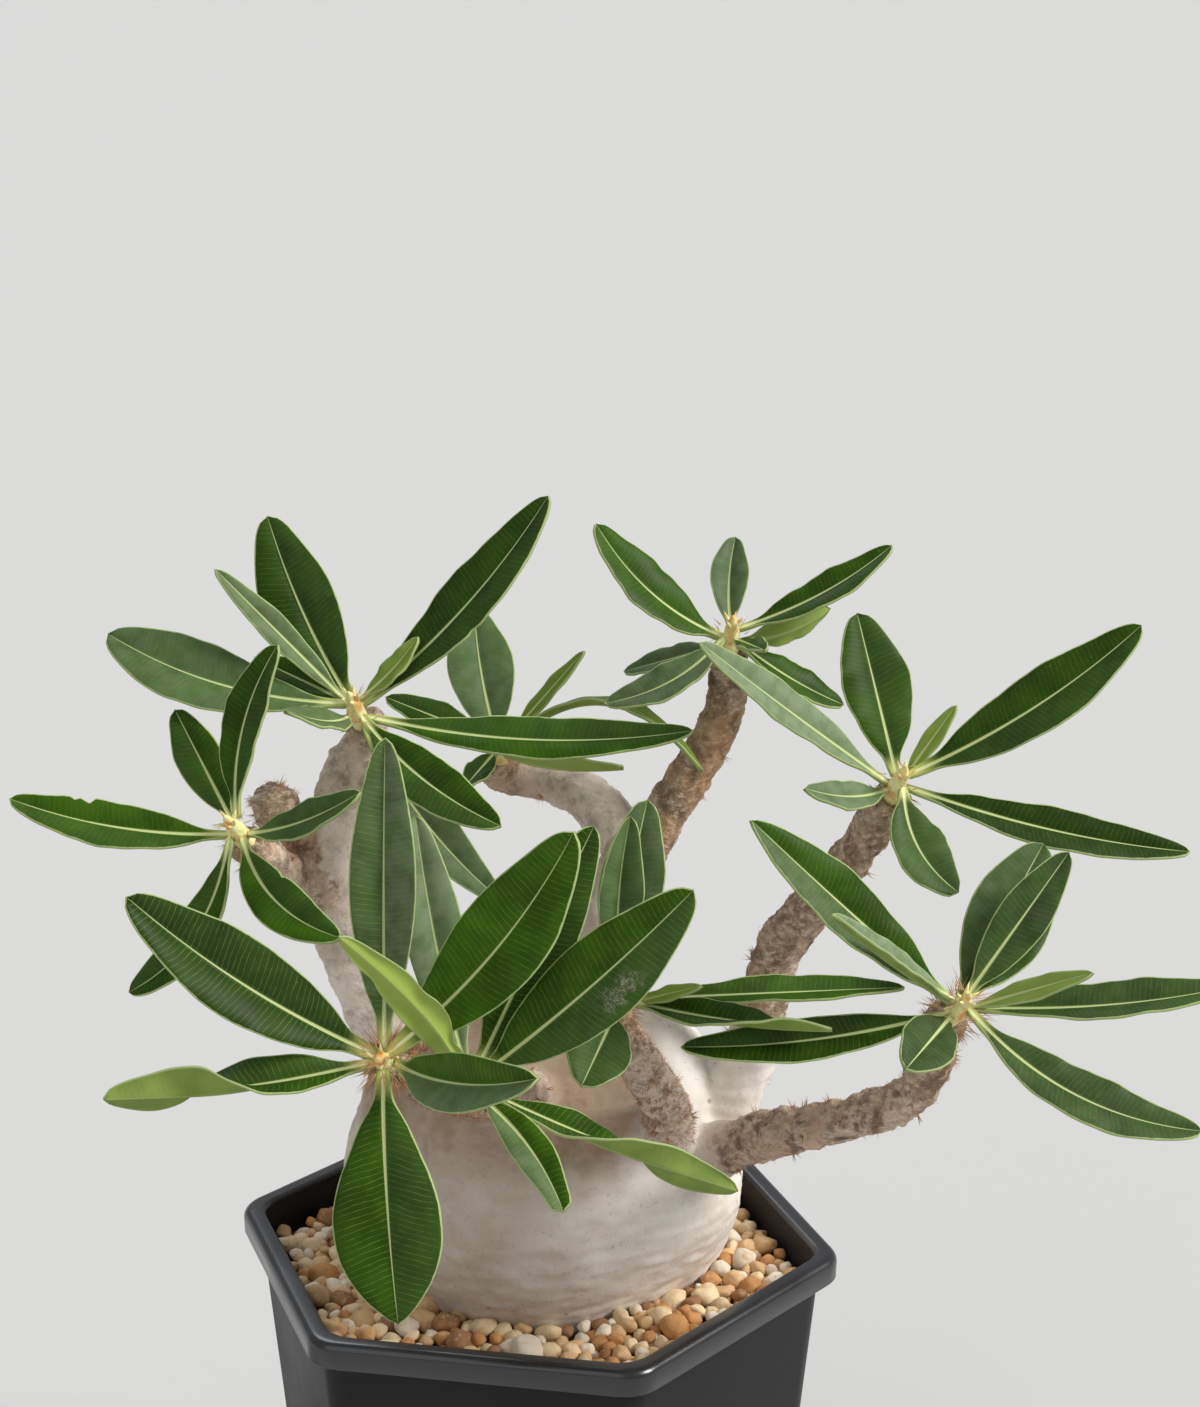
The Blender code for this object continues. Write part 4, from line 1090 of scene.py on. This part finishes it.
def shape_bark(mesh):
    """Move the skin's points out and in, and note how rough and brown each is, and its painted light.
    """
    points = vertex_rows(mesh, "co") / MM
    rough, pale, pale_foot = nearest_branch(points)
    x, y, height = points.T.astype(float)
    off_x, off_y = from_bulb(x, y)
    around = np.arctan2(off_y, off_x)
    crown = np.interp(height, BULB_HEIGHTS, BULB_RADII, right=0.0)
    branch = np.clip((np.hypot(off_x, off_y) - crown + 1.0) / 9.0, 0.0, 1.0)
    branch = np.where(height > BULB_HEIGHTS[-1] + 1, 1.0, branch)
    # Painted highlight: near white on the side of the bulb that faces the key light.
    highlit = np.clip(np.cos(around + HIGHLIGHT_SIDE) * 3 - 1.6, 0.0, 1.0)
    above = height - CREASE_HEIGHT - HIGHLIGHT_RISE * highlit
    brown = 0.60 * np.clip((above + 5) / 7, 0.0, 1.0) + 0.40 * np.clip((above + 26) / 22, 0.0, 1.0)
    # Painted light on the bulb's lit side below the crease; on the branches their own pale bark.
    light = np.clip(np.cos(around + LIT_SIDE) * 1.3 - 0.35, 0.0, 1.0)
    light = light * np.clip((2 - above) / 12, 0.0, 1.0) * (1 - branch) + pale * branch
    # Near the crease and on pale feet the skin is smooth and gets the painted highlight.
    foot = np.clip((4 - above) / 9, 0.0, 1.0) * np.maximum(pale_foot, 1 - branch)
    rough = rough * (1 - 0.85 * foot)
    light = np.maximum(light, highlit * foot)
    lumps = []
    for point, stem, smooth in zip(points.tolist(), branch * rough, 1 - branch):
        place = Vector(point)
        level = Vector((place.x, place.y, place.z * 3.2))
        lumps.append(noise.noise(place * 0.055) * 1.1 * smooth
                     + noise.noise(level * 0.16) * 0.42 * (1 - stem)
                     + noise.noise(place * 0.30) * 0.95 * stem + noise.noise(place * 0.80) * 0.55 * stem
                     + noise.noise(level * 0.5) * 0.14 * (1 - stem))
    points = points + vertex_rows(mesh, "normal") * np.array(lumps)[:, None]
    mesh.vertices.foreach_set("co", (points * MM).astype(np.float32).ravel())
    add_layer(mesh, "bark", np.stack((branch, rough, brown, light), axis=1))
    mesh.update()


def bristle(shape, root, way, length, radius, sides, look, kind):
    """A thin, slightly bent, tapering bristle."""
    side = unit(np.cross(way, (0.31, 0.52, 0.79)))
    other = np.cross(way, side)
    points = []
    for share, width in ((0.0, 1.0), (0.5, 0.62)):
        for angle in circle(sides):
            points.append(root + way * length * share
                          + radius * width * (math.cos(angle) * side + math.sin(angle) * other))
    points.append(root + way * length + side * length * 0.04)
    faces = []
    for j in range(sides):
        k = (j + 1) % sides
        faces += [(j, k, sides + k, sides + j), (sides + j, sides + k, 2 * sides)]
    looks = [(share, *look, 1.0) for share in [0.0] * sides + [0.5] * sides + [1.0]]
    shape.add(points, faces, [kind] * len(faces), looks)


def leaf_middles():
    """Points along every leaf in the pot's frame, with the room that the blade takes there."""
    middles = []
    rooms = []
    for rosette in ROSETTES.values():
        turn = np.array(rosette_matrix(rosette))
        for index, row in enumerate(rosette.leaves):
            for step in range(10):
                centre, _, _, half, _, _, _ = leaf_section(Leaf(*row), index, (step + 0.5) / 10)
                middles.append(turn[:3, :3] @ centre + turn[:3, 3])
                rooms.append(half)
    return np.array(middles), np.array(rooms)


def make_spines():
    """Tufts of spines and fine hairs that stand on the branches and keep clear of the leaves."""
    draw = random.Random(SPINE_SEED)
    middles, rooms = leaf_middles()
    shape = Shape()
    for name, (tufts, hairs) in BRANCH_SPINES.items():
        rows = branch_frames(name)
        made = 0
        for _ in range((tufts + hairs) * 3):
            if made == tufts + hairs:
                break
            start = draw.uniform(0.12, 0.99) * (len(rows) - 1)
            centre, size, side, other, tangent = rows[int(start)]
            after = rows[min(int(start) + 1, len(rows) - 1)][0]
            centre = centre + (after - centre) * (start - int(start))
            angle = draw.uniform(0, math.tau)
            out = math.cos(angle) * side + math.sin(angle) * other
            root = centre + out * (size - 0.7)
            crowded = np.linalg.norm(middles - (root + out * 3.0), axis=1) < rooms + 1.0
            crown = np.interp(root[2], BULB_HEIGHTS, BULB_RADII, right=0.0)
            if crowded.any() or math.hypot(*from_bulb(root[0], root[1])) < crown:
                continue
            age = min(max(1.15 - start / len(rows) - draw.uniform(0, 0.3), 0.0), 1.0)
            for _ in range(draw.randint(*TUFT) if made < tufts else 1):
                slant = [draw.uniform(-0.55, 0.55) for _ in range(3)]
                way = unit(out + tangent * (0.2 + slant[0]) + side * slant[1] + other * slant[2])
                look = (draw.random(), age)
                if made < tufts:
                    form = (draw.uniform(1.8, 3.2), draw.uniform(0.08, 0.14), 4)
                else:
                    form = (draw.uniform(1.1, 1.9), 0.06, 3)
                bristle(shape, root, way, *form, look, 0)
            made += 1
    dress(shape.make("stem_spines", [bristle_material()]), None)


def rosette_axis(rosette):
    """The direction that a rosette faces."""
    heading = math.radians(rosette.heading)
    climb = math.radians(rosette.climb)
    return Vector((math.cos(heading) * math.cos(climb), math.sin(heading) * math.cos(climb),
                   math.sin(climb)))


def rosette_matrix(rosette):
    """The rosette's place in millimetres: X to its right hand, Y to its top and Z along its axis."""
    heading = math.radians(rosette.heading)
    axis = rosette_axis(rosette)
    right = Vector((-math.sin(heading), math.cos(heading), 0.0))
    turn = Matrix((right, axis.cross(right), axis)).transposed().to_4x4()
    return Matrix.Translation(Vector(rosette.heart)) @ turn


def blade_share(s, belly, blunt=0.0):
    """Share of the leaf's full width at s along it: a narrow stalk, a long oval and a tip."""
    oval = math.sin(math.pi * min(s, 1.0) ** belly)
    power = 0.85 - blunt * smooth_step((s - 0.72) / 0.28)
    waist = 1 - WAIST_DEPTH * math.exp(-((s - WAIST_PLACE) / WAIST_SPAN) ** 2)
    return (max(oval, 0.0) ** power + 0.10 * (1 - s) ** 3 + 0.03 * (1 - s)) * waist


def leaf_section(leaf, index, s, blunt=0.0):
    """The leaf at s along it: middle, directions left and up, half width, fold and edges' rise."""
    around = math.radians(leaf.around)
    lift = math.radians(leaf.lift)
    axis = np.array((0.0, 0.0, 1.0))
    radial = np.array((math.cos(around), math.sin(around), 0.0))
    across = np.cross(axis, radial)
    outward = math.cos(lift) * radial + math.sin(lift) * axis
    face = np.cross(outward, across)
    start = radial * LEAF_START + axis * ((index % 3 - 1) * ROW_STEP + leaf.lift / 30)
    chord = outward * leaf.length - start
    bow = face * leaf.arch + across * leaf.sway
    centre = start + chord * s + bow * 4 * s * (1 - s)
    tangent = unit(chord + bow * 4 * (1 - 2 * s))
    left = unit(across - tangent * (across @ tangent))
    up = np.cross(tangent, left)
    turn = math.radians(leaf.roll + leaf.twist * smooth_step((s - TWIST_START) / TWIST_SPAN))
    left, up = (math.cos(turn) * left + math.sin(turn) * up,
                math.cos(turn) * up - math.sin(turn) * left)
    half = leaf.width / 2 * blade_share(s, leaf.belly, blunt)
    fold = math.radians(leaf.fold) * smooth_step(s / 0.25)
    swell = WAVE_SHARE * leaf.wave * math.sin(math.pi * s)
    rise_left = swell * math.sin(math.tau * 3.1 * s + index)
    rise_right = swell * math.sin(math.tau * 2.7 * s + 2 + 2 * index)
    return centre, left, up, half, fold, rise_left, rise_right


def of_leaf(table, name, index, plain):
    """What a table says of one leaf, or else the plain value."""
    return table.get(name, {}).get(index, plain)


def notch(name, index, sign, s):
    """Share of the half width that a bite in the leaf's edge leaves."""
    keep = 1.0
    for side, place, depth, length in of_leaf(NOTCHES, name, index, ()):
        if side == sign:
            keep -= depth * math.exp(-((s - place) / length) ** 2)
    return keep


def add_leaf(shape, name, index, leaf, chance):
    """One leaf: a folded blade with a keel under its midrib and softly rolled edges."""
    segments = max(LEAF_STEPS, int(leaf.length * LEAF_STEPS_PER_MM))
    look = of_leaf(LOOKS, name, index, (0.0, PLAIN_SHEEN, 0.0 if chance < 0.5 else 1.0, 0.0))
    blunt = of_leaf(BLUNT_TIPS, name, index, BLUNT_TIP)
    veined = VEIN_STRENGTHS.get(name, FAR_VEIN_STRENGTH)
    sides = 2 * len(ACROSS)
    points = []
    blades = []
    places = []
    for i in range(segments + 1):
        s = (i / segments) ** 0.97
        centre, left, up, half, fold, rise_left, rise_right = leaf_section(leaf, index, s, blunt)
        ruffle = RUFFLE * math.sin(math.pi * s) * min(half / 5, 1.0)
        for number, t in enumerate(ACROSS + ACROSS[::-1]):
            a = abs(t)
            width = half * notch(name, index, 1 if t > 0 else -1, s)
            ripple = math.sin(math.tau * (7.3 if t > 0 else 6.1) * s + 5 * chance + index)
            rise = width * a * math.sin(fold) + (rise_left if t > 0 else rise_right) * a * a
            rise += ruffle * a ** 3 * ripple + 0.055 * width * math.sin(math.pi * a)
            rise -= EDGE_ROLL * smooth_step((a - 0.86) / 0.14)
            if number < len(ACROSS):
                rise += BLADE_ABOVE - RIB_GROOVE * math.exp(-(a * max(half, 1.0) / 0.7) ** 2)
            else:
                keel = KEEL_DEPTH * (1 - 0.55 * s) * math.exp(-(a * max(half, 0.6) / 0.75) ** 2)
                rise -= BLADE_BELOW + keel
            points.append(centre + left * width * t * math.cos(fold) + up * rise)
            blades.append((half / HALF_SCALE, s, chance, veined))
            places.append(((t + 1) / 2, s * leaf.length / ALONG_SCALE))
    kinds = [0 if j < len(ACROSS) or j == sides - 1 else 1 for j in range(sides)] * segments + [1, 0]
    shape.add(points, band_faces(segments + 1, sides), kinds, [look] * len(points), blades, places)


def heart_radius(height):
    """The heart's radius at a height along its axis."""
    return float(np.interp(height, HEART_HEIGHTS, HEART_RADII))


def add_heart(shape, name, draw):
    """The felted knob that the leaves grow from, with tiny buds and bristles between the leaves."""
    points = []
    for height in np.linspace(HEART_HEIGHTS[0], HEART_HEIGHTS[-1], HEART_RINGS):
        for angle in circle(HEART_SIDES):
            place = Vector((math.cos(angle), math.sin(angle), height / 4))
            lumps = 0.16 * noise.noise(place * 1.7) + 0.10 * noise.noise(place * 4.0)
            size = heart_radius(height) * HEART_SHARE * (1 + lumps)
            points.append(np.array((*polar(size, angle), height)))
    faces = band_faces(HEART_RINGS, HEART_SIDES)
    shape.add(points, faces, [2] * len(faces), [(0.0, 0.0, 0.5, 1.0)] * len(points))
    for number in range(HEART_BUDS):
        angle = math.tau * (number + draw.uniform(-0.2, 0.2)) / HEART_BUDS
        tilt = draw.uniform(0.35, 0.8)
        way = np.array((*polar(math.sin(tilt), angle), math.cos(tilt)))
        bristle(shape, np.array((*polar(1.0, angle), 4.0)), way, draw.uniform(2.2, 3.2), 0.5, 8,
                (0.0, 0.0), 2)
    count, lengths = HEART_BRISTLES[name]
    for _ in range(count):
        angle = draw.uniform(0, math.tau)
        height = draw.uniform(-5.2, 5.2)
        out = np.array((*polar(1.0, angle), 0.0))
        way = unit(out + np.array((0.0, 0.0, draw.uniform(-0.3, 1.0 + height / 8)))
                   + np.array([draw.uniform(-0.35, 0.35) for _ in range(3)]))
        root = out * (heart_radius(height) * 0.8) + np.array((0.0, 0.0, height))
        bristle(shape, root, way, draw.uniform(*lengths), draw.uniform(0.08, 0.13), 4,
                (draw.random() * 0.6, max(0.0, -height / 6)), 3)


def make_rosette(name, materials):
    """One leafy head as a single piece."""
    rosette = ROSETTES[name]
    draw = random.Random(name)
    shape = Shape()
    for index, row in enumerate(rosette.leaves):
        # The shade is partly painted light and shade; add_leaf carries it as the leaf's chance.
        shade = of_leaf(SHADES, name, index, 0.35 + 0.3 * draw.random())
        leaf = Leaf(*row)
        leaf = leaf._replace(width=leaf.width * of_leaf(SLIM, name, index, 1.0))
        add_leaf(shape, name, index, leaf, shade)
    add_heart(shape, name, draw)
    head = shape.make("head_" + name, materials)
    place = rosette_matrix(rosette)
    place.translation *= MM
    head.data.transform(place)
    dress(head, "rosette_" + name)


def make_floor():
    """The floor that the pot stands on."""
    side = FLOOR_HALF_SIDE
    corners = [(-side, -side, 0.0), (side, -side, 0.0), (side, side, 0.0), (-side, side, 0.0)]
    make_object("floor", corners, [(0, 1, 2, 3)], [floor_material()])


def light_scene():
    """Soft studio light: a broad key from the right, a weaker fill from the left and a back light."""
    for name, way, spread, power, colour in LIGHTS:
        data = bpy.data.lights.new(name, "SUN")
        data.angle = math.radians(spread)
        data.energy = power
        data.color = colour
        lamp = link(name, data)
        lamp.location = Vector(way)
        lamp.rotation_euler = Vector(way).to_track_quat("Z", "Y").to_euler()
    world = bpy.data.worlds.new("studio")
    world.use_nodes = True
    world.node_tree.nodes["Background"].inputs["Color"].default_value = WORLD_COLOUR
    world.node_tree.nodes["Background"].inputs["Strength"].default_value = WORLD_STRENGTH
    bpy.context.scene.world = world


def place_camera():
    """The photograph's camera."""
    data = bpy.data.cameras.new("camera")
    data.lens = CAMERA_LENS
    data.sensor_width = CAMERA_SENSOR
    data.sensor_fit = "AUTO"
    camera = link("camera", data)
    camera.location = CAMERA_PLACE
    camera.rotation_euler = (math.radians(90 - CAMERA_DROP), 0.0, 0.0)
    bpy.context.scene.camera = camera


def main():
    """The whole scene."""
    place_camera()
    light_scene()
    # Plain colours on screen, without a film look.
    bpy.context.scene.view_settings.view_transform = "Standard"
    make_floor()
    make_pot()
    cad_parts["soil"].data.materials.clear()
    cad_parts["soil"].data.materials.append(soil_material())
    make_gravel()
    make_caudex()
    make_spines()
    materials = [leaf_top(), leaf_under(), heart_material(), bristle_material()]
    for name in ROSETTES:
        make_rosette(name, materials)


main()
